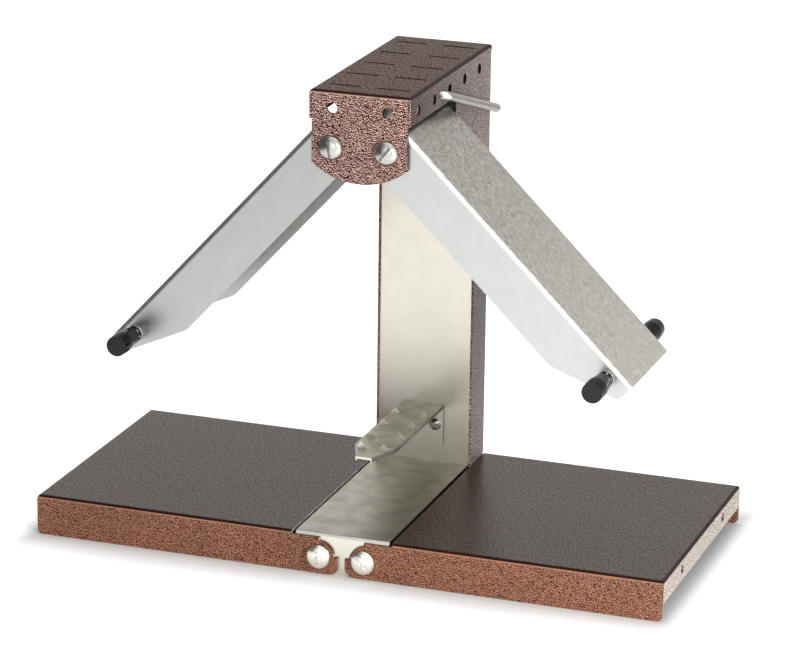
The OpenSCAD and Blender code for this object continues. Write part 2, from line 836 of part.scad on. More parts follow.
module arm_side_outline() {
    polygon(concat(
        [[arm_len, arm_top]],
        arm_low_points(),
        arc_points(0, pivot_round_z, pivot_round_r, -90, -270, 16)
    ));
}

module arm_shell_shape() {
    difference() {
        intersection() {
            along_y(arm_front, arm_back) arm_side_outline();
            along_x(-arm_top - over, arm_len + over)
                folded_outline(arm_front, arm_back, -arm_low - over, arm_top, arm_fold_r, true, true);
        }
        along_x(-arm_top - over * 2, arm_len + over * 2)
            folded_outline(arm_front + arm_sheet, arm_back - arm_sheet, -arm_low - over * 2,
                arm_top - arm_sheet, arm_fold_r - arm_sheet, true, true);
        block(-arm_top - over, -plate_overhang, arm_front + arm_sheet, arm_back - arm_sheet, 0, arm_top + over);
        rod_y(shank_r + run_play, arm_front - over, arm_back + over);
        translate([knob_along, 0, knob_off]) rod_y(knob_bolt_r + seat_play, arm_front - over, arm_back + over);
    }
}

module left_arm_shell() {
    color(stainless) arm_frame(-1, left_tilt) arm_shell_shape();
}

module right_arm_shell() {
    color(stainless) arm_frame(1, right_tilt) arm_shell_shape();
}

// Spacer tube between an arm's flanges, so the pivot screw can be tightened
spacer_r = 6.5;

module spacer_shape() {
    ring_y(spacer_r, arm_front + arm_sheet, arm_back - arm_sheet, shank_r + run_play);
}

module left_spacer_tube() {
    color(bright_steel) arm_frame(-1, left_tilt) spacer_shape();
}

module right_spacer_tube() {
    color(bright_steel) arm_frame(1, right_tilt) spacer_shape();
}

// Reflector: a folded roof over the element, its feet on the arm's flanges
reflector_start = 24;
reflector_end = element_end + element_r * 2;
reflector_top = 11;
reflector_foot_z = -2;
reflector_flat_half = 30;
reflector_foot_h = 3;

module reflector_section() {
    mid = (arm_front + arm_back) / 2;
    half = arm_w / 2 - arm_sheet;
    t = reflector_sheet;
    polygon([
        [mid - half, reflector_foot_z - reflector_foot_h],
        [mid - half, reflector_foot_z],
        [mid - reflector_flat_half, reflector_top],
        [mid + reflector_flat_half, reflector_top],
        [mid + half, reflector_foot_z],
        [mid + half, reflector_foot_z - reflector_foot_h],
        [mid + half - t, reflector_foot_z - reflector_foot_h],
        [mid + half - t, reflector_foot_z - t / 2],
        [mid + reflector_flat_half - t / 2, reflector_top - t],
        [mid - reflector_flat_half + t / 2, reflector_top - t],
        [mid - half + t, reflector_foot_z - t / 2],
        [mid - half + t, reflector_foot_z - reflector_foot_h]
    ]);
}

module reflector_shape() {
    along_x(reflector_start, reflector_end) reflector_section();
}

module left_reflector() {
    color(bright_steel) arm_frame(-1, left_tilt) reflector_shape();
}

module right_reflector() {
    color(bright_steel) arm_frame(1, right_tilt) reflector_shape();
}

// Heating element: a sheathed hairpin whose bend lies towards the arm's free end
element_z = 0;
element_bend_r = element_pitch / 2;

module element_shape() {
    mid = (arm_front + arm_back) / 2;
    bend_x = element_end - element_bend_r - element_r;
    translate([0, mid, element_z]) {
        for (side = [-1, 1]) translate([0, side * element_bend_r, 0]) rod_x(element_r, element_start, bend_x);
        translate([bend_x, 0, 0]) rotate([0, 0, -90])
            rotate_extrude(angle = 180) translate([element_bend_r, 0]) circle(element_r);
    }
}

module left_element() {
    color(sheath) arm_frame(-1, left_tilt) element_shape();
}

module right_element() {
    color(sheath) arm_frame(1, right_tilt) element_shape();
}

// Brackets: cross plates under the reflector that hold the element's legs
bracket_count = 3;
bracket_margin = 4;
bracket_pitch = (element_end - element_bend_r - element_r * 2 - element_start - bracket_margin) / (bracket_count - 1);
bracket_low = -7;
bracket_half = 34;

module brackets_shape() {
    mid = (arm_front + arm_back) / 2;
    top = reflector_top - reflector_sheet;
    for (i = [0 : bracket_count - 1], x = [element_start + bracket_margin + i * bracket_pitch]) difference() {
        along_x(x, x + bracket_sheet) polygon([
            [mid - bracket_half, bracket_low],
            [mid + bracket_half, bracket_low],
            [mid + bracket_half, 0],
            [mid + element_bend_r, top],
            [mid - element_bend_r, top],
            [mid - bracket_half, 0]
        ]);
        for (side = [-1, 1]) translate([0, mid + side * element_bend_r, element_z])
            rod_x(element_r + seat_play, x - over, x + bracket_sheet + over);
    }
}

module left_element_brackets() {
    color(stainless) arm_frame(-1, left_tilt) brackets_shape();
}

module right_element_brackets() {
    color(stainless) arm_frame(1, right_tilt) brackets_shape();
}

// Ceramic beads and threaded terminal pins at the element's cold ends
bead_r = 4.2;
bead_len = 6;
pin_r = 1.5;
pin_len = 8;

module element_ends_shape() {
    mid = (arm_front + arm_back) / 2;
    for (side = [-1, 1]) translate([0, mid + side * element_bend_r, element_z]) {
        rod_x(bead_r, element_start - bead_len, element_start);
        rod_x(pin_r, element_start - bead_len - pin_len, element_start - bead_len);
    }
}

module left_element_ends() {
    color(ceramic) arm_frame(-1, left_tilt) element_ends_shape();
}

module right_element_ends() {
    color(ceramic) arm_frame(1, right_tilt) element_ends_shape();
}

// Knobs: black tapered grips on the front and back flange, each with washer, nut and stud
knob_bolt_r = 2.5;
knob_edge = 0.9;
knob_neck_len = 3;
inner_nut_h = 4;

module knob_shape() {
    base_y = knob_washer_t + knob_nut_h;
    rotate([90, 0, 0]) translate([0, 0, base_y]) difference() {
        rotate_extrude() polygon(concat(
            [[0, 0], [knob_neck_r - knob_edge / 2, 0], [knob_neck_r, knob_edge / 2], [knob_neck_r, knob_neck_len]],
            arc_points(knob_r - knob_edge, knob_len - knob_edge, knob_edge, 0, 90, 5),
            [[0, knob_len]]
        ));
        translate([0, 0, -over]) cylinder(r = knob_bolt_r + seat_play, h = knob_len / 2 + over);
    }
}

module front_knob_shape() {
    translate([knob_along, arm_front, knob_off]) knob_shape();
}

module rear_knob_shape() {
    translate([knob_along, arm_back, knob_off]) mirror([0, 1, 0]) knob_shape();
}

// Washer, lock nut, stud and inner nut of one knob, drawn towards -Y
module knob_fixings() {
    ring_y(knob_washer_r, -knob_washer_t, 0, knob_bolt_r);
    hex_y(knob_nut_flats, -knob_washer_t - knob_nut_h, -knob_washer_t, knob_bolt_r);
    rod_y(knob_bolt_r, -knob_washer_t - knob_nut_h - knob_len / 2, arm_sheet + inner_nut_h + over);
    hex_y(knob_nut_flats, arm_sheet, arm_sheet + inner_nut_h, knob_bolt_r);
}

module knob_nuts_shape() {
    translate([knob_along, arm_front, knob_off]) knob_fixings();
    translate([knob_along, arm_back, knob_off]) mirror([0, 1, 0]) knob_fixings();
}

module left_front_knob() {
    color(black_knob) arm_frame(-1, left_tilt) front_knob_shape();
}

module left_rear_knob() {
    color(black_knob) arm_frame(-1, left_tilt) rear_knob_shape();
}

module left_knob_nuts() {
    color(bright_steel) arm_frame(-1, left_tilt) knob_nuts_shape();
}

module right_front_knob() {
    color(black_knob) arm_frame(1, right_tilt) front_knob_shape();
}

module right_rear_knob() {
    color(black_knob) arm_frame(1, right_tilt) rear_knob_shape();
}

module right_knob_nuts() {
    color(bright_steel) arm_frame(1, right_tilt) knob_nuts_shape();
}

// Carrying handle: a bent rod that turns in the skirts and lies back against the column
handle_end_inside = 7;

module carrying_handle() {
    leg_end = handle_reach - handle_bend_r;
    stub_in = column_half - body_sheet - handle_end_inside;
    color(bright_steel) stand_frame() translate([0, handle_pivot_y, handle_pivot_z])
        rotate([-handle_slope, 0, 0]) {
            rod_cross = handle_leg_x - handle_bend_r;
            stub_bend_r = handle_side_gap + handle_r;
            translate([0, handle_reach, 0]) rod_x(handle_r, -rod_cross, rod_cross);
            for (side = [-1, 1]) mirror([side < 0 ? 1 : 0, 0, 0]) {
                translate([handle_leg_x, 0, 0]) rod_y(handle_r, stub_bend_r, leg_end);
                translate([rod_cross, leg_end, 0])
                    rotate_extrude(angle = 90) translate([handle_bend_r, 0]) circle(handle_r);
                translate([handle_leg_x - stub_bend_r, stub_bend_r, 0]) rotate([0, 0, -90])
                    rotate_extrude(angle = 90) translate([stub_bend_r, 0]) circle(handle_r);
                rod_x(handle_r, stub_in, handle_leg_x - stub_bend_r);
            }
        }
}

centre_channel();
column();
column_liner();
column_foot();
head_cover();
seam_plates();
pivot_bulkhead();
pivot_screws();
pivot_washers();
pivot_nuts();
front_base_bolts();
rear_base_bolts();
base_nuts();
wedge_tray();
tray_screws();
tray_nuts();
terminal_block();
terminal_screws();
cable_gland();
gland_nut();
left_arm_shell();
left_reflector();
left_element();
left_element_brackets();
left_element_ends();
left_spacer_tube();
left_front_knob();
left_rear_knob();
left_knob_nuts();
right_arm_shell();
right_reflector();
right_element();
right_element_brackets();
right_element_ends();
right_spacer_tube();
right_front_knob();
right_rear_knob();
right_knob_nuts();
left_wing();
right_wing();
carrying_handle();
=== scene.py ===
import math

import bpy
from mathutils import Matrix, Vector


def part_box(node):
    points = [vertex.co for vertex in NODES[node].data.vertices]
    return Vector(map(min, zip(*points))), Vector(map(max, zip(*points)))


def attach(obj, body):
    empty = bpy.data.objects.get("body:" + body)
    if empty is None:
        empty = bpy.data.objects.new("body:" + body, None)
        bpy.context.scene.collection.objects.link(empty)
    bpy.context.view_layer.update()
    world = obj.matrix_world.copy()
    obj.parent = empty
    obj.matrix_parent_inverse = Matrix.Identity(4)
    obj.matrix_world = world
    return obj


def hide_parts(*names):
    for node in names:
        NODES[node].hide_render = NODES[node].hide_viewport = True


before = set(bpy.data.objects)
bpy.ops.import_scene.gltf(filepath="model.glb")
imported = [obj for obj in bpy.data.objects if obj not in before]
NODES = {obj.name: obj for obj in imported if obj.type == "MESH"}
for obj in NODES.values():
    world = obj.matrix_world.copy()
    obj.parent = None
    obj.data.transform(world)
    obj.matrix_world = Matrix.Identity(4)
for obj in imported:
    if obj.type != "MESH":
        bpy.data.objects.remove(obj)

bl_info = {
    "name": "Raclette machine",
    "version": (1, 0, 0),
    "blender": (4, 5, 0),
    "location": "3D View > Sidebar > Raclette",
    "description": "Dresses the folded-sheet raclette machine with its finishes and turned pieces",
    "category": "Object",
}

MM = 0.001

# Values that the pieces share


def half_height(node):
    """Half the height of a CAD node's box."""
    low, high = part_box(node)
    return (high.z - low.z) / 2


# How far each arm hangs below level, for the way its brushing runs
ARM_TILT = {"left": math.radians(-47.7), "right": math.radians(44.4)}
STAND_STEEL = ["centre_channel", "column_liner", "column_foot", "wedge_tray"]
BRIGHT_NODES = [
    "pivot_washers", "pivot_nuts", "base_nuts", "tray_screws", "tray_nuts", "terminal_screws",
    "left_knob_nuts", "right_knob_nuts", "left_spacer_tube", "right_spacer_tube",
]
# How far each driver slot is turned from upright, in degrees, the left bolt first
FRONT_SLOTS, REAR_SLOTS, PIVOT_SLOTS = (-4, -42), (25, -70), (-4, 38)
# Edges that turn by more degrees than this stay sharp on the turned pieces.
SMOOTH_ANGLE = 28

# Sizes and colours to change


def colour(code):
    """A linear colour from an sRGB hex value."""
    parts = [int(code[i:i + 2], 16) / 255 for i in (0, 2, 4)]
    return tuple(p / 12.92 if p <= 0.04045 else ((p + 0.055) / 1.055) ** 2.4 for p in parts) + (1.0,)


def length_property(name, text, value):
    """A length that the sidebar shows in the scene's unit."""
    return bpy.props.FloatProperty(name=name, description=text, default=value, unit="LENGTH",
                                   subtype="DISTANCE", precision=5)


def colour_property(name, text, code):
    """A colour that the sidebar shows as a swatch."""
    return bpy.props.FloatVectorProperty(name=name, description=text, default=colour(code), size=4,
                                         subtype="COLOR", min=0, max=1)


def share_property(name, text, value):
    """A share from 0 to 1 that the sidebar shows as a slider."""
    return bpy.props.FloatProperty(name=name, description=text, default=value, min=0, max=1,
                                   subtype="FACTOR")


class RACLETTE_PG_sizes(bpy.types.PropertyGroup):
    """Sizes of the turned pieces."""
    head_r: length_property("Head radius", "Radius of the domed bolt heads", 8.5 * MM)
    edge_height: length_property("Edge height", "Height of a dome's widest ring over its sheet", 1.6 * MM)
    pivot_height: length_property("Pivot head height", "Height of the arm pivots' domed heads", 6.6 * MM)
    wing_height: length_property("Wing bolt head height", "Height of the wing bolts' domed heads", 5 * MM)
    slot_width: length_property("Slot width", "Width of the screwdriver slots", 1.7 * MM)
    pivot_slot: length_property("Pivot slot depth", "Depth of the arm pivots' screwdriver slots", 1.5 * MM)
    wing_slot: length_property("Wing bolt slot depth", "Depth of the wing bolts' slots", 1.0 * MM)
    shank_r: length_property("Shank radius", "Radius of the bolts' shanks", 4 * MM)
    knob_neck_r: length_property("Knob neck radius", "Radius of a knob at its nut", 6.1 * MM)
    knob_end_r: length_property("Knob end radius", "Radius of a knob at its free end",
                                half_height("left_front_knob"))
    knob_edge_r: length_property("Knob edge radius", "Rounding of a knob's free end", 0.4 * MM)


class RACLETTE_PG_finish(bpy.types.PropertyGroup):
    """Colours and pattern sizes of the finishes."""
    # These are the lit and the shaded flanks of the head's cells: painted shading of the hammered relief.
    head_lit_flank: colour_property("Head crest", "Light flanks of the cells on the head's face", "FACEC0")
    head_shaded_flank: colour_property("Head valley", "Dark flanks of the cells on the head's face", "2C0F09")
    # Painted light and shade: the side and top tones stand in for how the light falls on faces that turn
    # sideways and lie level, and the column's sides are painted lighter than the head's skirts.
    head_side: colour_property("Head side", "Enamel on the head's skirts, near its face", "40332E")
    lit_column_side: colour_property("Column side", "Enamel on skirts' back and column's sides", "847A78")
    # The base's flank colours are painted shading of the hammered relief as well.
    base_lit_flank: colour_property("Base crest", "Light flanks of the cells on the base's front", "ECAC8B")
    base_shaded_flank: colour_property("Base valley", "Dark flanks of the cells on the base's front", "3A170E")
    base_side: colour_property("Base side", "Enamel on the end flanges of the wings", "B0A69D")
    head_top: colour_property("Head top", "Enamel on the head's top, where the sheet lies level", "553A2A")
    base_top: colour_property("Base top", "Enamel on the wings' tops, where the sheet lies level", "402D20")
    head_sheen: share_property("Head sheen", "How strongly the head's top mirrors at a low angle", 0.02)
    base_sheen: share_property("Base sheen", "How strongly the wings' tops mirror at a low angle", 0.2)
    # Painted shade: this dark tone stands in for the shade round the bends.
    fold: colour_property("Enamel on folds", "Enamel drawn thin and dark round the folds", "2C1712")
    # Painted light: the upright colours are lit copies of the level steel, lighter than it, and the left
    # arm's flanges are painted darker than the right arm's, as painted shade.
    steel: colour_property("Brushed level faces", "Stainless sheet where it lies level", "AEABA2")
    left_upright_shaded: colour_property("Left arm's flanges", "Left arm's stainless where upright", "B9BAB8")
    right_upright_lit: colour_property("Right arm's flanges", "Right arm's stainless where upright", "C8CAC8")
    plate: colour_property("Centre plate", "Stainless of base and column where level", "A5A194")
    liner: colour_property("Column liner", "Stainless of base and column where upright", "E0DCD0")
    rod: colour_property("Handle rod", "Drawn rod of the handle", "96938D")
    # Painted light: the pivot and wing bolt steels are shaded and lit copies of one turned steel, with the
    # wing bolts painted lighter as a painted reflection of the pale floor.
    pivot_steel_shaded: colour_property("Pivot bolts", "Turned steel of arm pivots and small hardware", "BFBDB8")
    wing_steel_lit: colour_property("Wing bolts", "Turned steel of the wing bolts", "F0EDE2")
    black: colour_property("Knob black", "Colour of the moulded knobs", "0C0C0D")
    # Painted light and shade: these are copies of one milled steel, the pivot slots painted darker as
    # painted shade and the wing bolt slots near white as a painted reflection of the pale floor.
    pivot_slot_shaded_steel: colour_property("Pivot slots", "Milled slots of the arm pivots", "9C9A95")
    wing_slot_lit_steel: colour_property("Wing bolt slots", "Milled slots of the wing bolts", "F4F2EA")
    head_cell: length_property("Head cell", "Width of a hammered cell on the head", 1.4 * MM)
    base_cell: length_property("Base cell", "Width of a hammered cell on the base", 1.05 * MM)
    head_grain: length_property("Head top grain", "Width of the grains on the head's top", 1.0 * MM)
    base_grain: length_property("Base top grain", "Width of the grains on the wings' tops", 0.75 * MM)
    grain: length_property("Brushing pitch", "Spacing of the brushed scratches", 0.55 * MM)


# Node trees


def feed(tree, node, links):
    """Links or fills a node's inputs. A node given for an input stands for its first output in use, and a
    list goes into one input in turn."""
    for socket, given in links.items():
        for value in given if isinstance(given, list) else [given]:
            if isinstance(value, bpy.types.Node):
                value = next(output for output in value.outputs if output.enabled)
            if isinstance(value, bpy.types.NodeSocket):
                tree.links.new(value, node.inputs[socket])
            else:
                node.inputs[socket].default_value = value


def add(tree, kind, links=None, **settings):
    """Adds a node, sets its properties, and links or fills its inputs. A mix of colours takes its share at
    input 0 and its two colours at inputs 6 and 7."""
    node = tree.nodes.new(kind)
    for name, value in settings.items():
        setattr(node, name, value)
    feed(tree, node, links or {})
    return node


def empty_tree(owner):
    """The node tree of a material or a world, with no nodes in it."""
    owner.use_nodes = True
    owner.node_tree.nodes.clear()
    return owner.node_tree


def new_surface(name, plain):
    """A material with only a Principled surface with its plain values, its tree, and the surface."""
    material = bpy.data.materials.new(name)
    tree = empty_tree(material)
    surface = add(tree, "ShaderNodeBsdfPrincipled", plain)
    add(tree, "ShaderNodeOutputMaterial", {"Surface": surface})
    return material, tree, surface


def past_all(tree, limits):
    """How far a spot lies past all limits, from 0 to 1. Each limit is a value, where it starts to count and
    where it counts in full."""
    share = 1.0
    for value, start, full in limits:
        passed = add(tree, "ShaderNodeMapRange", {"Value": value, "From Min": start, "From Max": full})
        share = add(tree, "ShaderNodeMath", {0: share, 1: passed}, operation="MULTIPLY")
    return share


def seen_directly(tree):
    """1 for rays that show the background: camera, glossy and transmission rays."""
    path = add(tree, "ShaderNodeLightPath").outputs
    share = 0.0
    for kind in ("Is Camera Ray", "Is Glossy Ray", "Is Transmission Ray"):
        share = add(tree, "ShaderNodeMath", {0: share, 1: path[kind]}, operation="MAXIMUM")
    return share


def dress(names, material):
    """Gives CAD nodes one material."""
    for name in names:
        data = NODES[name].data
        data.materials.clear()
        data.materials.append(material)


# Materials

# Nearly all values of a noise lie between these.
NOISE_SPAN = {"From Min": 0.3, "From Max": 0.7}
WHITE = (1, 1, 1, 1)


def shade(rgb, factor):
    """A linear colour made lighter or darker."""
    return tuple(min(1.0, part * factor) for part in rgb[:3]) + (1.0,)


def hammered_cells(tree, spot, cell):
    """The swell of hammered enamel in cells whose edges wander, and the painted light flank of each cell:
    the slope of its swell in one fixed way, which paints the relief's shading.
    """
    wander = (cell * 0.8,) * 3
    light_way_shift = (cell * 0.12, cell * 0.08, cell * 0.3)
    swell = {"Scale": 1 / (cell * 0.62), "Detail": 1.0, "Roughness": 0.4}
    wobble = add(tree, "ShaderNodeTexNoise", {"Vector": spot, "Scale": 0.5 / cell, "Detail": 1.0})
    drawn = add(tree, "ShaderNodeVectorMath", {0: wobble.outputs["Color"], 1: wander, 2: spot},
                operation="MULTIPLY_ADD")
    beside = add(tree, "ShaderNodeVectorMath", {0: drawn, 1: light_way_shift})
    near = add(tree, "ShaderNodeTexNoise", {"Vector": drawn, **swell})
    far = add(tree, "ShaderNodeTexNoise", {"Vector": beside, **swell})
    slope = add(tree, "ShaderNodeMath", {0: far, 1: near}, operation="SUBTRACT")
    relief_light = add(tree, "ShaderNodeMapRange", {"Value": slope, "From Min": 0.028, "From Max": 0.094})
    return near, relief_light


def hammered_enamel(name, look, cell, top_grain, contrast, sheen):
    """Stoved hammer-finish enamel. On upright faces each cell is painted from a shaded to a lit flank by
    the slope of
    its swell in one fixed way: painted shading of the hammered relief. Sideways and level faces are painted
    in tones of their own, as painted light and shade, and level sheet's clear top coat mirrors in grains.
    The folds are painted dark, as painted shade. The grain of the level faces is drawn longer from front to
    back than it is, so that it shows at a low angle. The look names the colours."""
    material, tree, surface = new_surface(name, {})
    head_low, head_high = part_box("head_cover")
    place = add(tree, "ShaderNodeTexCoord").outputs
    spot = place["Object"]
    apart = add(tree, "ShaderNodeSeparateXYZ", {0: spot}).outputs
    way = add(tree, "ShaderNodeSeparateXYZ", {0: place["Normal"]}).outputs
    across, ahead, level = (add(tree, "ShaderNodeMath", {0: way[axis]}, operation="ABSOLUTE")
                            for axis in ("X", "Y", "Z"))
    upright = add(tree, "ShaderNodeMath", {0: across, 1: ahead}, operation="MAXIMUM")
    flat = add(tree, "ShaderNodeMath", {0: upright, 1: level}, operation="MAXIMUM")
    near, relief_light = hammered_cells(tree, spot, cell)
    # Upright faces run from the shaded to the lit flank: painted shading of the cells' relief.
    front = add(tree, "ShaderNodeMix", {0: relief_light, 6: look["valley"], 7: look["crest"]}, data_type="RGBA")
    # The sides are painted lighter from the head's face to its back: painted light on the skirts and the
    # column's sides.
    past_head = 60 * MM
    depth = add(tree, "ShaderNodeMapRange", {"Value": apart["Y"], "From Min": head_low.y,
                                             "From Max": head_high.y + past_head})
    side_tone = add(tree, "ShaderNodeMix", {0: depth, 6: look["side"], 7: look["lit_side_back"]},
                    data_type="RGBA")
    # The sides carry the same painted shading of the cells' relief.
    relief = add(tree, "ShaderNodeMapRange", {"Value": relief_light, "To Min": 0.55, "To Max": 3.0})
    side = add(tree, "ShaderNodeHueSaturation", {"Color": side_tone, "Value": relief})
    # Level faces show grains in place of cells.
    drawn_long = (1.0, 0.3, 1.0)
    long = add(tree, "ShaderNodeVectorMath", {0: spot, 1: drawn_long}, operation="MULTIPLY")
    fine = add(tree, "ShaderNodeTexNoise", {"Vector": long, "Scale": 1 / top_grain, "Detail": 2.0,
                                            "Roughness": 0.6})
    grain = add(tree, "ShaderNodeMapRange", {"Value": fine, "From Min": 0.44, "From Max": 0.58})
    low_top, high_top = shade(look["top"], 1 - contrast), shade(look["top"], 1 + contrast)
    top = add(tree, "ShaderNodeMix", {0: grain, 6: low_top, 7: high_top}, data_type="RGBA")
    # Which of these a spot shows depends on the way that it faces: painted light and shade, with fronts,
    # sides and level tops each in tones of their own.
    sideways = add(tree, "ShaderNodeMapRange", {"Value": across, "From Min": 0.8, "From Max": 0.95},
                   interpolation_type="SMOOTHSTEP")
    lying = add(tree, "ShaderNodeMapRange", {"Value": level, "From Min": 0.9, "From Max": 0.985},
                interpolation_type="SMOOTHSTEP")
    # Folds are painted dark: painted shade round the bends.
    folded = add(tree, "ShaderNodeMapRange", {"Value": flat, "From Min": 0.993, "From Max": 0.94})
    walls = add(tree, "ShaderNodeMix", {0: sideways, 6: front, 7: side}, data_type="RGBA")
    sheet = add(tree, "ShaderNodeMix", {0: lying, 6: walls, 7: top}, data_type="RGBA")
    edged = add(tree, "ShaderNodeMix", {0: folded, 6: sheet, 7: look["fold"]}, data_type="RGBA")
    # Just under a front fold a thin bright line is painted: a painted highlight.
    rim_highlight_tone = shade(look["crest"], 0.6)
    rim_highlight = past_all(tree, ((level, 0.1, 0.18), (level, 0.5, 0.34), (ahead, 0.8, 0.88)))
    rim_highlighted = add(tree, "ShaderNodeMix", {0: rim_highlight, 6: edged, 7: rim_highlight_tone}, data_type="RGBA")
    # The walls of the vents, high up between the head's face and its back, are painted dark: painted shade
    # in the vents.
    vent_foot = head_high.z - 60 * MM
    face_back, back_wall = head_low.y + 1.8 * MM, head_high.y - 3 * MM
    vent_shade = past_all(tree, (
        (apart["Z"], vent_foot, vent_foot + 1 * MM), (apart["Y"], face_back, face_back + 0.4 * MM),
        (apart["Y"], back_wall, back_wall - 1 * MM), (across, 0.5, 0.3), (level, 0.8, 0.7),
    ))
    vent_shaded = add(tree, "ShaderNodeMix", {0: vent_shade, 6: rim_highlighted, 7: colour("1A1210")}, data_type="RGBA")
    # Faint clouds lie over the whole sheet.
    cloud = add(tree, "ShaderNodeTexNoise", {"Vector": spot, "Scale": 1 / (60 * MM), "Detail": 2.0})
    value = add(tree, "ShaderNodeMapRange", {"Value": cloud, **NOISE_SPAN, "To Min": 0.93, "To Max": 1.07})
    toned = add(tree, "ShaderNodeHueSaturation", {"Color": vent_shaded, "Value": value})
    gloss = add(tree, "ShaderNodeMapRange", {"Value": lying, "To Min": 0.42, "To Max": 0.22})
    glint = add(tree, "ShaderNodeMapRange", {"Value": grain, "To Min": sheen * (1 - contrast),
                                             "To Max": sheen * (1 + contrast)})
    # Seen from behind, level sheet would throw back nothing but the key light, so its mirror fades there.
    incoming = add(tree, "ShaderNodeNewGeometry").outputs["Incoming"]
    viewer = add(tree, "ShaderNodeSeparateXYZ", {0: incoming}).outputs
    from_front = add(tree, "ShaderNodeMapRange", {"Value": viewer["Y"], "From Min": 0.4, "From Max": 0.15})
    kept = add(tree, "ShaderNodeMath", {0: glint, 1: from_front}, operation="MULTIPLY")
    mirror = add(tree, "ShaderNodeMapRange", {"Value": lying, "To Min": 0.06, "To Max": kept})
    strength = add(tree, "ShaderNodeMapRange", {"Value": lying, "To Min": 0.8, "To Max": 0.3})
    bump = add(tree, "ShaderNodeBump", {"Height": near, "Strength": strength, "Distance": 0.5 * MM})
    feed(tree, surface, {"Base Color": toned, "Roughness": gloss, "Specular IOR Level": mirror,
                         "Normal": bump})
    return material


def brushed_stainless(name, level_colour, upright_colour, grain, turn, stretch, smudge, ends):
    """Stainless sheet with a ground finish: fine streaks one way that spread each reflection across them.
    The real scratches are a tenth of a millimetre apart, and are drawn coarser here so that they show.
    Level sheet changes between two heights in its tone and in how strongly its streaks show: for the low
    and the high end, the ends give a height, a tone and how strongly the streaks show."""
    material, tree, surface = new_surface(name, {"Metallic": 1.0})
    place = add(tree, "ShaderNodeTexCoord").outputs
    turned = add(tree, "ShaderNodeMapping", {"Vector": place["Object"], "Rotation": (0.0, turn, 0.0)})
    thin = add(tree, "ShaderNodeVectorMath", {0: turned, 1: stretch}, operation="MULTIPLY")
    streak = add(tree, "ShaderNodeTexNoise", {"Vector": thin, "Scale": 1 / grain, "Detail": 3.0,
                                              "Roughness": 0.7})
    patch = add(tree, "ShaderNodeTexNoise", {"Vector": turned, "Scale": 1 / (14 * MM), "Detail": 5.0})
    way = add(tree, "ShaderNodeSeparateXYZ", {0: place["Normal"]}).outputs
    ahead = add(tree, "ShaderNodeMath", {0: way["Y"]}, operation="ABSOLUTE")
    upright = add(tree, "ShaderNodeMapRange", {"Value": ahead, "From Min": 0.3, "From Max": 0.95},
                  interpolation_type="SMOOTHSTEP")
    # Upright sheet shows its streaks and smudges faintly.
    upright_spread, upright_smudge = 0.06, 0.03
    (low, low_tone, low_spread), (high, high_tone, high_spread) = ends
    height = add(tree, "ShaderNodeSeparateXYZ", {0: place["Object"]}).outputs["Z"]
    span = {"Value": height, "From Min": low, "From Max": high}
    height_tone = add(tree, "ShaderNodeMapRange", {**span, "To Min": low_tone, "To Max": high_tone})
    height_spread = add(tree, "ShaderNodeMapRange", {**span, "To Min": low_spread, "To Max": high_spread})
    spread = add(tree, "ShaderNodeMapRange", {"Value": upright, "To Min": height_spread,
                                              "To Max": upright_spread})
    scratch = add(tree, "ShaderNodeMapRange", {"Value": streak, **NOISE_SPAN, "To Min": -1.0})
    tone = add(tree, "ShaderNodeMath", {0: scratch, 1: spread, 2: 1.0}, operation="MULTIPLY_ADD")
    smear = add(tree, "ShaderNodeMapRange", {"Value": patch, **NOISE_SPAN, "To Min": -1.0})
    smudged = add(tree, "ShaderNodeMapRange", {"Value": upright, "To Min": smudge,
                                               "To Max": upright_smudge})
    cloud = add(tree, "ShaderNodeMath", {0: smear, 1: smudged, 2: 1.0}, operation="MULTIPLY_ADD")
    both = add(tree, "ShaderNodeMath", {0: tone, 1: cloud}, operation="MULTIPLY")
    level = add(tree, "ShaderNodeHueSaturation", {"Color": level_colour, "Value": height_tone})
    # Upright sheet takes a lighter colour of its own: painted light, a lit copy of the level steel.
    plain = add(tree, "ShaderNodeMix", {0: upright, 6: level, 7: upright_colour}, data_type="RGBA")
    # Each bend is painted bright: a painted highlight along the bends.
    bend_highlight = past_all(tree, ((ahead, 0.35, 0.6), (ahead, 0.95, 0.85)))
    bend_highlighted = add(tree, "ShaderNodeMix", {0: bend_highlight, 6: plain, 7: colour("F3F2EE")}, data_type="RGBA")
    # Cut edges that face sideways, or along an arm's slope, are darker.
    slope_way = (math.cos(turn), 0.0, math.sin(turn))
    along = add(tree, "ShaderNodeVectorMath", {0: place["Normal"], 1: slope_way}, operation="DOT_PRODUCT")
    end_on = add(tree, "ShaderNodeMath", {0: along}, operation="ABSOLUTE")
    cut_edge = add(tree, "ShaderNodeMapRange", {"Value": end_on, "From Min": 0.95, "From Max": 0.99})
    cut = add(tree, "ShaderNodeMix", {0: cut_edge, 6: bend_highlighted, 7: colour("6C6A66")}, data_type="RGBA")
    toned = add(tree, "ShaderNodeHueSaturation", {"Color": cut, "Value": both})
    rough = add(tree, "ShaderNodeMapRange", {"Value": streak, **NOISE_SPAN, "To Min": 0.3, "To Max": 0.42})
    bump = add(tree, "ShaderNodeBump", {"Height": streak, "Strength": 0.1, "Distance": 0.05 * MM})
    feed(tree, surface, {"Base Color": toned, "Roughness": rough, "Normal": bump})
    return material


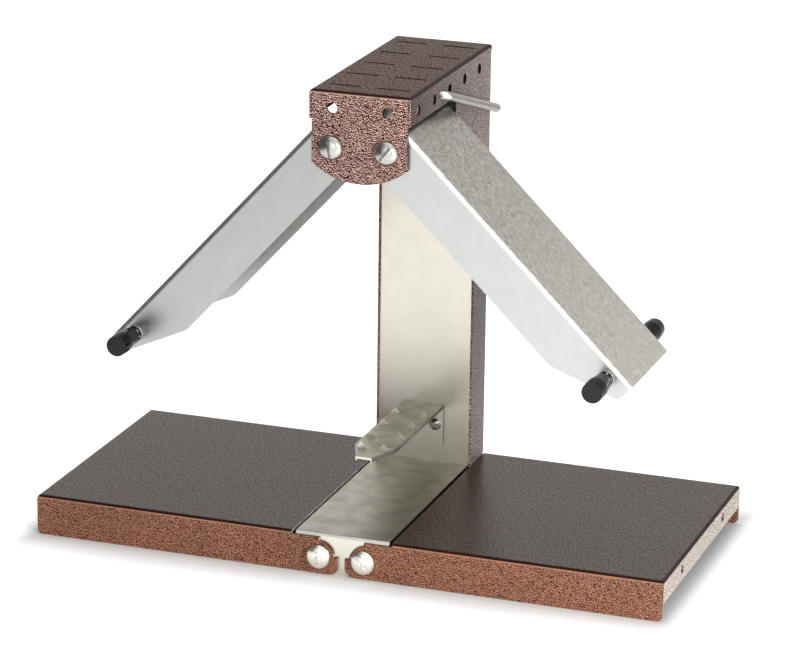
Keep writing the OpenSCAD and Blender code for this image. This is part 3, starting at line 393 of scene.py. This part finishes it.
def slot_steel(name, tint):
    """The milled floor and walls of the driver slots: milled steel in the tint given, with grime. The tint
    paints
    light and shade into the slot: darker for the pivots, near white for the wing bolts."""
    material, tree, surface = new_surface(name, {"Metallic": 1.0, "Roughness": 0.42})
    place = add(tree, "ShaderNodeTexCoord").outputs
    speck = add(tree, "ShaderNodeTexNoise", {"Vector": place["Object"], "Scale": 1 / (1.5 * MM)})
    grime = add(tree, "ShaderNodeMapRange", {"Value": speck, "From Min": 0.4, "From Max": 0.6})
    tone = add(tree, "ShaderNodeMix", {0: grime, 6: shade(tint, 0.55), 7: tint}, data_type="RGBA")
    feed(tree, surface, {"Base Color": tone})
    return material


def turned_steel(name, tint):
    """Bright steel of screws and nuts. The turning rings of the domed heads, round the screws' axes, spread
    each highlight into a bow from the middle."""
    material, tree, surface = new_surface(name, {"Metallic": 1.0, "Anisotropic": 0.7})
    place = add(tree, "ShaderNodeTexCoord").outputs
    grime = add(tree, "ShaderNodeTexNoise", {"Vector": place["Object"], "Scale": 1 / (2.5 * MM)})
    tone = add(tree, "ShaderNodeMapRange", {"Value": grime, **NOISE_SPAN, "To Min": 0.94, "To Max": 1.04})
    toned = add(tree, "ShaderNodeHueSaturation", {"Color": tint, "Value": tone})
    rough = add(tree, "ShaderNodeMapRange", {"Value": grime, **NOISE_SPAN, "To Min": 0.2, "To Max": 0.3})
    screw_axis = (0, 1, 0)
    rings = add(tree, "ShaderNodeVectorMath", {0: place["Normal"], 1: screw_axis},
                operation="CROSS_PRODUCT")
    feed(tree, surface, {"Base Color": toned, "Roughness": rough, "Tangent": rings})
    return material


def speckled(name, plain, pitch, dark, light, relief=None, rough=None):
    """A material whose grain of one pitch runs from a dark tone to a light one. The grain may also stand up
    by a relief, a strength and a height, and have its own range of roughness."""
    material, tree, surface = new_surface(name, plain)
    place = add(tree, "ShaderNodeTexCoord").outputs
    speck = add(tree, "ShaderNodeTexNoise", {"Vector": place["Object"], "Scale": 1 / pitch})
    tone = add(tree, "ShaderNodeMix", {0: speck, 6: dark, 7: light}, data_type="RGBA")
    feed(tree, surface, {"Base Color": tone})
    if relief:
        bump = add(tree, "ShaderNodeBump", {"Height": speck, "Strength": relief[0], "Distance": relief[1]})
        feed(tree, surface, {"Normal": bump})
    if rough:
        spread = add(tree, "ShaderNodeMapRange", {"Value": speck, "To Min": rough[0], "To Max": rough[1]})
        feed(tree, surface, {"Roughness": spread})
    return material


def shade_dark_enamel():
    """Enamel inside the head and on its seam plates, painted dark brown as painted shade, so that holes and
    seam read dark."""
    return speckled("shade_dark_enamel", {"Roughness": 0.6}, 0.6 * MM, colour("120E0C"), colour("2A211D"))


def sheath_steel():
    """Oxidised stainless tube of the heating elements: dull grey-brown with a straw tint from heat."""
    return speckled("sheath_steel", {"Metallic": 1.0}, 14 * MM, colour("6E655C"), colour("8C7A62"),
                    rough=(0.4, 0.6))


def knob_black(finish):
    """Moulded phenolic, polished in its mould: near black, and sharp in the little that it mirrors."""
    return speckled("knob_black", {"Specular IOR Level": 0.05}, 4 * MM, finish.black, colour("111011"),
                    rough=(0.03, 0.06))


def knob_end_black():
    """The knobs' end faces, left from the mould with a fine matt texture: an even dark grey."""
    return speckled("knob_end_black", {"Roughness": 0.7, "Specular IOR Level": 0.15}, 0.35 * MM,
                    colour("2B2B2C"), colour("363637"), relief=(0.2, 0.05 * MM))


def gland_black():
    """Glass-filled nylon: matt black with a faint grey bloom."""
    return speckled("gland_black", {"Roughness": 0.55}, 0.5 * MM, colour("1B1B1C"), colour("2A2A2B"),
                    relief=(0.25, 0.05 * MM))


def steatite():
    """Unglazed steatite: cream white, dry, with small dark specks."""
    return speckled("steatite", {"Roughness": 0.7}, 1.2 * MM, colour("D8CFBC"), colour("EFE9DB"),
                    relief=(0.2, 0.1 * MM))


def white_paper_sweep():
    """White paper. Looked at directly it also glows, more and more away from the base, so that it is seen
    white: a painted glow. Near the base the glow is held back, which paints shade round the base, so that
    the contact shadow stays close."""
    paper, full_glow = (0.85, 0.85, 0.85, 1), 0.7
    # How far from the base the glow is full, to the sides and to the front and back
    side_reach, front_reach = 20 * MM, 45 * MM
    material = bpy.data.materials.new("white_paper_sweep")
    tree = empty_tree(material)
    plain = add(tree, "ShaderNodeBsdfDiffuse", {"Color": paper})
    place = add(tree, "ShaderNodeTexCoord").outputs
    low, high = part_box("left_wing")[0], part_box("right_wing")[1]
    half = (max(-low.x, high.x), max(-low.y, high.y), 1.0)
    spread = add(tree, "ShaderNodeVectorMath", {0: place["Object"]}, operation="ABSOLUTE")
    past = add(tree, "ShaderNodeVectorMath", {0: spread, 1: half}, operation="SUBTRACT")
    outside = add(tree, "ShaderNodeVectorMath", {0: past, 1: (0, 0, 0)}, operation="MAXIMUM")
    per_reach = (1 / side_reach, 1 / front_reach, 0)
    shares = add(tree, "ShaderNodeVectorMath", {0: outside, 1: per_reach}, operation="MULTIPLY")
    away = add(tree, "ShaderNodeVectorMath", {0: shares}, operation="LENGTH")
    shadow_to_glow = add(tree, "ShaderNodeMapRange", {"Value": away, "To Max": full_glow})
    painted_glow = add(tree, "ShaderNodeEmission", {"Color": WHITE, "Strength": shadow_to_glow})
    lit = add(tree, "ShaderNodeAddShader", {0: plain, 1: painted_glow})
    chosen = add(tree, "ShaderNodeMixShader", {0: seen_directly(tree), 1: plain, 2: lit})
    add(tree, "ShaderNodeOutputMaterial", {"Surface": chosen})
    return material


def black_card():
    """Black card: matt and even, so that what mirrors it gets a plain dark side."""
    material = bpy.data.materials.new("black_card")
    tree = empty_tree(material)
    dark_grey = (0.12, 0.12, 0.12, 1)
    card = add(tree, "ShaderNodeBsdfDiffuse", {"Color": dark_grey})
    add(tree, "ShaderNodeOutputMaterial", {"Surface": card})
    return material


# Geometry trees


def new_tree(name, inputs):
    """A geometry tree with a mesh in and out and named inputs, as {name: (socket type, default)}, what its
    inputs say, and its output node."""
    tree = bpy.data.node_groups.new(name, "GeometryNodeTree")
    tree.interface.new_socket("Geometry", in_out="INPUT", socket_type="NodeSocketGeometry")
    for label, (kind, value) in inputs.items():
        socket = tree.interface.new_socket(label, in_out="INPUT", socket_type=kind)
        if value is not None:
            socket.default_value = value
    tree.interface.new_socket("Geometry", in_out="OUTPUT", socket_type="NodeSocketGeometry")
    return tree, add(tree, "NodeGroupInput").outputs, add(tree, "NodeGroupOutput")


def grow(name, data, tree, values):
    """Bakes a tree on a mesh of places into one plain mesh piece that holds only the materials in use."""
    seed = bpy.data.objects.new(name + "_seed", data)
    bpy.context.scene.collection.objects.link(seed)
    modifier = seed.modifiers.new("grow", "NODES")
    modifier.node_group = tree
    for item in tree.interface.items_tree:
        if item.item_type == "SOCKET" and item.in_out == "INPUT" and item.name in values:
            modifier[item.identifier] = values[item.name]
    seed.update_tag()
    graph = bpy.context.evaluated_depsgraph_get()
    baked = bpy.data.meshes.new_from_object(seed.evaluated_get(graph), depsgraph=graph)
    baked.name = name
    used = sorted({face.material_index for face in baked.polygons})
    kept = [baked.materials[index] for index in used]
    numbers = [used.index(face.material_index) for face in baked.polygons]
    baked.materials.clear()
    for material in kept:
        baked.materials.append(material)
    baked.polygons.foreach_set("material_index", numbers)
    bpy.data.objects.remove(seed)
    piece = bpy.data.objects.new(name, baked)
    bpy.context.scene.collection.objects.link(piece)
    return piece


def smooth_by_angle(piece, degrees):
    """Shades a piece smooth, but keeps its sharper edges, and keeps its many-sided ends flat."""
    most_sides = 4
    for face in piece.data.polygons:
        face.use_smooth = len(face.vertices) <= most_sides
    piece.data.set_sharp_from_angle(angle=math.radians(degrees))


def places_mesh(name, places):
    """A mesh of points with the turn of each slot and the way that each piece faces."""
    data = bpy.data.meshes.new(name)
    spots, turns, facings = zip(*places)
    data.from_pydata(spots, [], [])
    for label, values in (("turn", turns), ("facing", facings)):
        attribute = data.attributes.new(label, "FLOAT", "POINT")
        attribute.data.foreach_set("value", values)
    return data


def bolt_places(node, seat, slots, facing):
    """The places of the left and the right bolt of a CAD node, on a seat and with their slots turned."""
    low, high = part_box(node)
    height = (low.z + high.z) / 2
    out = high.x - (high.z - low.z) / 2
    left, right = slots
    return [((-out, seat, height), math.radians(left), facing),
            ((out, seat, height), math.radians(right), facing)]


def domed_bolt_tree():
    """A domed head with a driver slot on a plain shank, put on every point with its seat there. The head is
    a flattened ball that the seat cuts behind its widest ring, so that a shadow gap stays under its
    edge."""
    tree, say, result = new_tree("domed_bolt", {
        "Head radius": ("NodeSocketFloat", 9 * MM), "Edge height": ("NodeSocketFloat", 1.6 * MM),
        "Dome height": ("NodeSocketFloat", 3.4 * MM), "Slot width": ("NodeSocketFloat", 1.7 * MM),
        "Slot depth": ("NodeSocketFloat", 2 * MM), "Shank radius": ("NodeSocketFloat", 4 * MM),
        "Shank length": ("NodeSocketFloat", 20 * MM), "Metal": ("NodeSocketMaterial", None),
        "Slot finish": ("NodeSocketMaterial", None),
    })
    block = 40 * MM
    quarter = (math.pi / 2, 0, 0)
    round_head, over_head, round_shank = 72, 48, 40
    ball = add(tree, "GeometryNodeMeshUVSphere", {"Segments": round_head, "Rings": over_head,
                                                  "Radius": 1.0})
    girth = add(tree, "ShaderNodeCombineXYZ", {"X": say["Head radius"], "Y": say["Head radius"],
                                               "Z": say["Dome height"]})
    ring = add(tree, "ShaderNodeMath", {0: say["Edge height"], 1: -1.0}, operation="MULTIPLY")
    ring_place = add(tree, "ShaderNodeCombineXYZ", {"Y": ring})
    dome = add(tree, "GeometryNodeTransform", {"Geometry": ball, "Translation": ring_place,
                                               "Rotation": quarter, "Scale": girth})
    dome_clad = add(tree, "GeometryNodeSetMaterial", {"Geometry": dome, "Material": say["Metal"]})
    behind = add(tree, "GeometryNodeMeshCube", {"Size": (block, block, block)})
    behind_seat = add(tree, "GeometryNodeTransform", {"Geometry": behind, "Translation": (0, block / 2, 0)})
    seat_clad = add(tree, "GeometryNodeSetMaterial", {"Geometry": behind_seat, "Material": say["Metal"]})
    tip = add(tree, "ShaderNodeMath", {0: ring, 1: say["Dome height"]}, operation="SUBTRACT")
    tip_place = add(tree, "ShaderNodeCombineXYZ", {"Y": tip})
    twice_deep = add(tree, "ShaderNodeMath", {0: say["Slot depth"], 1: 2.0}, operation="MULTIPLY")
    cutter_size = add(tree, "ShaderNodeCombineXYZ", {"X": say["Slot width"], "Y": twice_deep, "Z": block})
    cutter = add(tree, "GeometryNodeMeshCube", {"Size": cutter_size})
    cutter_place = add(tree, "GeometryNodeTransform", {"Geometry": cutter, "Translation": tip_place})
    cutter_clad = add(tree, "GeometryNodeSetMaterial", {"Geometry": cutter_place,
                                                        "Material": say["Slot finish"]})
    head = add(tree, "GeometryNodeMeshBoolean", {"Mesh 1": dome_clad, "Mesh 2": [seat_clad, cutter_clad]},
               operation="DIFFERENCE", solver="EXACT")
    shank = add(tree, "GeometryNodeMeshCylinder", {"Vertices": round_shank, "Radius": say["Shank radius"],
                                                   "Depth": say["Shank length"]})
    half = add(tree, "ShaderNodeMath", {0: say["Shank length"], 1: 0.5}, operation="MULTIPLY")
    shank_middle = add(tree, "ShaderNodeCombineXYZ", {"Y": half})
    shank_place = add(tree, "GeometryNodeTransform", {"Geometry": shank, "Translation": shank_middle,
                                                      "Rotation": quarter})
    shank_clad = add(tree, "GeometryNodeSetMaterial", {"Geometry": shank_place, "Material": say["Metal"]})
    bolt = add(tree, "GeometryNodeJoinGeometry", {0: [head, shank_clad]})
    turn = add(tree, "GeometryNodeInputNamedAttribute", {"Name": "turn"}, data_type="FLOAT")
    facing = add(tree, "GeometryNodeInputNamedAttribute", {"Name": "facing"}, data_type="FLOAT")
    spun = add(tree, "ShaderNodeCombineXYZ", {"Y": turn, "Z": facing})
    spots = add(tree, "GeometryNodeInstanceOnPoints", {"Points": say["Geometry"], "Instance": bolt,
                                                       "Rotation": spun})
    real = add(tree, "GeometryNodeRealizeInstances", {0: spots})
    feed(tree, result, {0: real})
    return tree


def turned_knob_tree():
    """A turned knob with a neck, a flare and a rounded flat end, put on every point along its facing. Its
    outline is a rail whose first part is the flare and whose last part is the rounding of the end."""
    tree, say, result = new_tree("turned_knob", {
        "Neck radius": ("NodeSocketFloat", 5 * MM), "End radius": ("NodeSocketFloat", 7 * MM),
        "Length": ("NodeSocketFloat", 24 * MM), "Edge radius": ("NodeSocketFloat", 0.8 * MM),
        "Gloss": ("NodeSocketMaterial", None), "End finish": ("NodeSocketMaterial", None),
    })
    neck_share, flare_share = 0.1, 0.6
    round_knob, along_knob = 64, 64
    end_skin = 0.02 * MM
    line = add(tree, "GeometryNodeCurvePrimitiveLine", {"Start": (0, 0, 0), "End": (0, -1, 0)})
    fine = add(tree, "GeometryNodeResampleCurve", {"Curve": line, "Count": along_knob})
    share = add(tree, "GeometryNodeSplineParameter")
    flared = add(tree, "ShaderNodeMapRange", {"Value": share, "From Max": flare_share})
    rounded = add(tree, "ShaderNodeMapRange", {"Value": share, "From Min": flare_share,
                                               "To Max": math.pi / 2})
    girth = add(tree, "ShaderNodeMapRange", {"Value": flared, "From Min": neck_share,
                                             "To Min": say["Neck radius"], "To Max": say["End radius"]})
    cosine = add(tree, "ShaderNodeMath", {0: rounded}, operation="COSINE")
    sine = add(tree, "ShaderNodeMath", {0: rounded}, operation="SINE")
    drawn_in = add(tree, "ShaderNodeMath", {0: 1.0, 1: cosine}, operation="SUBTRACT")
    inset = add(tree, "ShaderNodeMath", {0: say["Edge radius"], 1: drawn_in}, operation="MULTIPLY")
    radius = add(tree, "ShaderNodeMath", {0: girth, 1: inset}, operation="SUBTRACT")
    body = add(tree, "ShaderNodeMath", {0: say["Length"], 1: say["Edge radius"]}, operation="SUBTRACT")
    body_reach = add(tree, "ShaderNodeMath", {0: body, 1: flared}, operation="MULTIPLY")
    reach = add(tree, "ShaderNodeMath", {0: say["Edge radius"], 1: sine, 2: body_reach},
                operation="MULTIPLY_ADD")
    forward = add(tree, "ShaderNodeMath", {0: reach, 1: -1.0}, operation="MULTIPLY")
    at = add(tree, "ShaderNodeCombineXYZ", {"Y": forward})
    rail = add(tree, "GeometryNodeSetPosition", {"Geometry": fine, "Position": at})
    kept = add(tree, "GeometryNodeStoreNamedAttribute", {"Geometry": rail, "Name": "girth",
                                                         "Value": radius}, data_type="FLOAT")
    scale = add(tree, "GeometryNodeInputNamedAttribute", {"Name": "girth"}, data_type="FLOAT")
    ring = add(tree, "GeometryNodeCurvePrimitiveCircle", {"Resolution": round_knob, "Radius": 1.0})
    knob = add(tree, "GeometryNodeCurveToMesh", {"Curve": kept, "Profile Curve": ring, "Scale": scale,
                                                 "Fill Caps": True})
    glossy = add(tree, "GeometryNodeSetMaterial", {"Geometry": knob, "Material": say["Gloss"]})
    spot = add(tree, "ShaderNodeSeparateXYZ", {0: add(tree, "GeometryNodeInputPosition")})
    past_end = add(tree, "ShaderNodeMath", {0: spot.outputs["Y"], 1: say["Length"]})
    on_end = add(tree, "ShaderNodeMath", {0: past_end, 1: end_skin}, operation="LESS_THAN")
    matt = add(tree, "GeometryNodeSetMaterial", {"Geometry": glossy, "Selection": on_end,
                                                 "Material": say["End finish"]})
    facing = add(tree, "GeometryNodeInputNamedAttribute", {"Name": "facing"}, data_type="FLOAT")
    spun = add(tree, "ShaderNodeCombineXYZ", {"Z": facing})
    spots = add(tree, "GeometryNodeInstanceOnPoints", {"Points": say["Geometry"], "Instance": matt,
                                                       "Rotation": spun})
    real = add(tree, "GeometryNodeRealizeInstances", {0: spots})
    feed(tree, result, {0: real})
    return tree


# Operators


class RACLETTE_OT_enamel(bpy.types.Operator):
    """Gives the head, the column and the wings their hammered enamel"""
    bl_idname = "raclette.enamel"
    bl_label = "Hammered enamel"

    def execute(self, context):
        finish = context.scene.raclette_finish
        head_look = {"crest": finish.head_lit_flank, "valley": finish.head_shaded_flank, "side": finish.head_side,
                     "lit_side_back": finish.lit_column_side, "top": finish.head_top, "fold": finish.fold}
        base_look = {"crest": finish.base_lit_flank, "valley": finish.base_shaded_flank, "side": finish.base_side,
                     "lit_side_back": finish.base_side, "top": finish.base_top, "fold": finish.fold}
        head = hammered_enamel("hammered_enamel_head", head_look, finish.head_cell, finish.head_grain,
                               contrast=0.6, sheen=finish.head_sheen)
        base = hammered_enamel("hammered_enamel_base", base_look, finish.base_cell, finish.base_grain,
                               contrast=0.64, sheen=finish.base_sheen)
        dress(["head_cover", "column"], head)
        dress(["left_wing", "right_wing"], base)
        dress(["seam_plates", "pivot_bulkhead"], shade_dark_enamel())
        return {"FINISHED"}


class RACLETTE_OT_stainless(bpy.types.Operator):
    """Gives the stainless sheets, the reflectors and the handle their brushed finish"""
    bl_idname = "raclette.stainless"
    bl_label = "Brushed stainless"

    def execute(self, context):
        finish = context.scene.raclette_finish
        upright = {"left": finish.left_upright_shaded, "right": finish.right_upright_lit}
        stand = brushed_stainless("brushed_stainless_stand", finish.plate, finish.liner, finish.grain,
                                  turn=0.0, stretch=(1.0, 0.15, 1.0), smudge=0.22,
                                  ends=((0, 1, 0.15), (1, 1, 0.15)))
        dress(STAND_STEEL, stand)
        for side, tilt in ARM_TILT.items():
            low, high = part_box(side + "_arm_shell")
            metal = brushed_stainless("brushed_stainless_" + side + "_arm", finish.steel, upright[side],
                                      finish.grain, turn=-tilt, stretch=(0.15, 0.6, 1.0), smudge=0.03,
                                      ends=((low.z, 1.18, 0.36), (high.z, 0.72, 0.85)))
            dress([side + "_arm_shell", side + "_reflector", side + "_element_brackets"], metal)
        rod = brushed_stainless("drawn_stainless_rod", finish.rod, finish.rod, finish.grain, turn=0.0,
                                stretch=(1.0, 0.05, 1.0), smudge=0.03, ends=((0, 1, 0.3), (1, 1, 0.3)))
        dress(["carrying_handle"], rod)
        return {"FINISHED"}


class RACLETTE_OT_heating(bpy.types.Operator):
    """Gives the heating elements, their ceramic ends and the wiring parts their finishes"""
    bl_idname = "raclette.heating"
    bl_label = "Heating and wiring"

    def execute(self, context):
        dress(["left_element", "right_element"], sheath_steel())
        dress(["left_element_ends", "right_element_ends", "terminal_block"], steatite())
        dress(["cable_gland", "gland_nut"], gland_black())
        return {"FINISHED"}


class RACLETTE_OT_bolts(bpy.types.Operator):
    """Makes the domed slotted bolts of the wings and the arm pivots, and dresses the small hardware"""
    bl_idname = "raclette.bolts"
    bl_label = "Domed bolts"

    def execute(self, context):
        sizes = context.scene.raclette_sizes
        finish = context.scene.raclette_finish
        pivot_steel_shaded = turned_steel("turned_steel_pivots_shaded", finish.pivot_steel_shaded)
        wing_steel_lit = turned_steel("turned_steel_wing_bolts_lit", finish.wing_steel_lit)
        dress(BRIGHT_NODES, pivot_steel_shaded)
        values = {"Head radius": sizes.head_r, "Edge height": sizes.edge_height,
                  "Slot width": sizes.slot_width, "Shank radius": sizes.shank_r}
        tree = domed_bolt_tree()
        low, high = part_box("front_base_bolts")
        seat = low.y + sizes.wing_height
        rear_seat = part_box("rear_base_bolts")[1].y - sizes.wing_height
        places = (bolt_places("front_base_bolts", seat, FRONT_SLOTS, 0.0)
                  + bolt_places("rear_base_bolts", rear_seat, REAR_SLOTS, math.pi))
        values.update({"Dome height": sizes.wing_height - sizes.edge_height, "Shank length": high.y - seat,
                       "Metal": wing_steel_lit, "Slot depth": sizes.wing_slot,
                       "Slot finish": slot_steel("wing_slot_lit_steel", finish.wing_slot_lit_steel)})
        wing_bolts = grow("wing_bolts", places_mesh("wing_bolt_places", places), tree, values)
        seat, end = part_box("head_cover")[0].y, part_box("pivot_screws")[1].y
        places = bolt_places("pivot_screws", seat, PIVOT_SLOTS, 0.0)
        values.update({"Dome height": sizes.pivot_height - sizes.edge_height, "Shank length": end - seat,
                       "Metal": pivot_steel_shaded, "Slot depth": sizes.pivot_slot,
                       "Slot finish": slot_steel("pivot_slot_shaded_steel", finish.pivot_slot_shaded_steel)})
        pivots = grow("arm_pivot_bolts", places_mesh("pivot_bolt_places", places), tree, values)
        replaced = ((wing_bolts, ("front_base_bolts", "rear_base_bolts")), (pivots, ("pivot_screws",)))
        for piece, nodes in replaced:
            smooth_by_angle(piece, SMOOTH_ANGLE)
            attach(piece, "stand")
            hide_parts(*nodes)
        return {"FINISHED"}


class RACLETTE_OT_knobs(bpy.types.Operator):
    """Makes the two black knobs of each arm"""
    bl_idname = "raclette.knobs"
    bl_label = "Arm knobs"

    def execute(self, context):
        sizes = context.scene.raclette_sizes
        gloss, matt = knob_black(context.scene.raclette_finish), knob_end_black()
        tree = turned_knob_tree()
        for side in ("left", "right"):
            low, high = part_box(side + "_front_knob")
            rear_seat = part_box(side + "_rear_knob")[0].y
            x, z = (low.x + high.x) / 2, (low.z + high.z) / 2
            places = [((x, high.y, z), 0.0, 0.0), ((x, rear_seat, z), 0.0, math.pi)]
            values = {"Neck radius": sizes.knob_neck_r, "End radius": sizes.knob_end_r,
                      "Length": high.y - low.y, "Edge radius": sizes.knob_edge_r, "Gloss": gloss,
                      "End finish": matt}
            knobs = grow(side + "_knobs", places_mesh(side + "_knob_places", places), tree, values)
            smooth_by_angle(knobs, SMOOTH_ANGLE)
            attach(knobs, side + "_arm")
            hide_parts(side + "_front_knob", side + "_rear_knob")
        return {"FINISHED"}


class RACLETTE_OT_stage(bpy.types.Operator):
    """Makes the pale floor, the soft light and the camera"""
    bl_idname = "raclette.stage"
    bl_label = "Stage, light and camera"

    def execute(self, context):
        scene = context.scene
        scene.view_settings.view_transform = "Standard"
        self.make_floor(scene)
        self.make_world(scene)
        self.make_lamps(scene)
        self.make_flag(scene)
        self.make_camera(scene)
        return {"FINISHED"}

    def four_sided(self, scene, name, corners, material):
        """A flat four-sided sheet of one material."""
        data = bpy.data.meshes.new(name)
        data.from_pydata(corners, [], [(0, 1, 2, 3)])
        data.materials.append(material)
        sheet = bpy.data.objects.new(name, data)
        scene.collection.objects.link(sheet)
        return sheet

    def make_floor(self, scene):
        """A white sweep."""
        size = 12.0
        corners = [(-size, -size, 0), (size, -size, 0), (size, size, 0), (-size, size, 0)]
        floor = self.four_sided(scene, "floor", corners, white_paper_sweep())

    def make_world(self, scene):
        """Soft light from all sides, which is seen as white."""
        soft_strength = 0.43
        world = bpy.data.worlds.new("white_studio")
        tree = empty_tree(world)
        soft = add(tree, "ShaderNodeBackground", {"Color": WHITE, "Strength": soft_strength})
        white = add(tree, "ShaderNodeBackground", {"Color": WHITE, "Strength": 1.0})
        chosen = add(tree, "ShaderNodeMixShader", {0: seen_directly(tree), 1: soft, 2: white})
        add(tree, "ShaderNodeOutputWorld", {"Surface": chosen})
        scene.world = world

    def make_lamps(self, scene):
        """Three square softboxes that face the machine."""
        aim = Vector((0, 0, 0.12))
        # Each lamp's name, place, side and power
        lamps = (
            ("top_softbox", (0.2, 0.4, 1.7), 1.4, 8.0),
            ("front_softbox", (0.3, -2.3, 0.7), 1.2, 5.0),
            ("key_softbox", (0.95, -0.8, 0.42), 0.5, 10.0),
        )
        for name, spot, size, power in lamps:
            lamp = bpy.data.lights.new(name, "AREA")
            lamp.size = size
            lamp.energy = power
            holder = bpy.data.objects.new(name, lamp)
            scene.collection.objects.link(holder)
            holder.location = spot
            holder.rotation_euler = (aim - Vector(spot)).to_track_quat("-Z", "Y").to_euler()

    def make_flag(self, scene):
        """A dark card on the left that only reflections see: it gives the domed heads their dark side."""
        x, front, back, bottom, top = -0.65, -1.5, 0.4, 0.02, 1.7
        corners = [(x, front, bottom), (x, back, bottom), (x, back, top), (x, front, top)]
        flag = self.four_sided(scene, "black_flag", corners, black_card())
        flag.visible_camera = False
        flag.visible_diffuse = False
        flag.visible_shadow = False
        flag.visible_transmission = False

    def make_camera(self, scene):
        """The photograph's camera, fitted to the machine's corners: place, turn, lens."""
        place = (0.7975007, -2.2596155, 0.9059868)
        yaw, pitch, roll = -0.3378903, -0.3077821, 0.0131211
        focal_pixels, picture_pixels, sensor_width = 3648.9595, 800, 36.0
        ahead = Vector((math.sin(yaw) * math.cos(pitch), math.cos(yaw) * math.cos(pitch), math.sin(pitch)))
        right = Vector((math.cos(yaw), -math.sin(yaw), 0))
        up = right.cross(ahead)
        right_rolled = right * math.cos(roll) + up * math.sin(roll)
        up_rolled = right_rolled.cross(ahead)
        turn = Matrix((right_rolled, up_rolled, -ahead)).transposed()
        data = bpy.data.cameras.new("camera")
        data.sensor_width = sensor_width
        data.lens = focal_pixels / picture_pixels * sensor_width
        data.clip_start, data.clip_end = 0.05, 60.0
        camera = bpy.data.objects.new("camera", data)
        scene.collection.objects.link(camera)
        camera.matrix_world = Matrix.Translation(place) @ turn.to_4x4()
        scene.camera = camera


class RACLETTE_PT_panel(bpy.types.Panel):
    """The sidebar's list of steps and values"""
    bl_label = "Raclette machine"
    bl_space_type = "VIEW_3D"
    bl_region_type = "UI"
    bl_category = "Raclette"

    def draw(self, context):
        for group in (context.scene.raclette_sizes, context.scene.raclette_finish):
            column = self.layout.column(align=True)
            for name in group.__annotations__:
                column.prop(group, name)
        for step in STEPS:
            self.layout.operator(step.bl_idname)


STEPS = (RACLETTE_OT_enamel, RACLETTE_OT_stainless, RACLETTE_OT_heating, RACLETTE_OT_bolts,
         RACLETTE_OT_knobs, RACLETTE_OT_stage)
CLASSES = (RACLETTE_PG_sizes, RACLETTE_PG_finish) + STEPS + (RACLETTE_PT_panel,)


def register():
    for each in CLASSES:
        bpy.utils.register_class(each)
    bpy.types.Scene.raclette_sizes = bpy.props.PointerProperty(type=RACLETTE_PG_sizes)
    bpy.types.Scene.raclette_finish = bpy.props.PointerProperty(type=RACLETTE_PG_finish)


def unregister():
    del bpy.types.Scene.raclette_finish
    del bpy.types.Scene.raclette_sizes
    for each in reversed(CLASSES):
        bpy.utils.unregister_class(each)


def main():
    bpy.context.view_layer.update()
    register()
    ops = bpy.ops.raclette
    for step in (ops.enamel, ops.stainless, ops.heating, ops.bolts, ops.knobs, ops.stage):
        step()


if __name__ == "__main__":
    main()
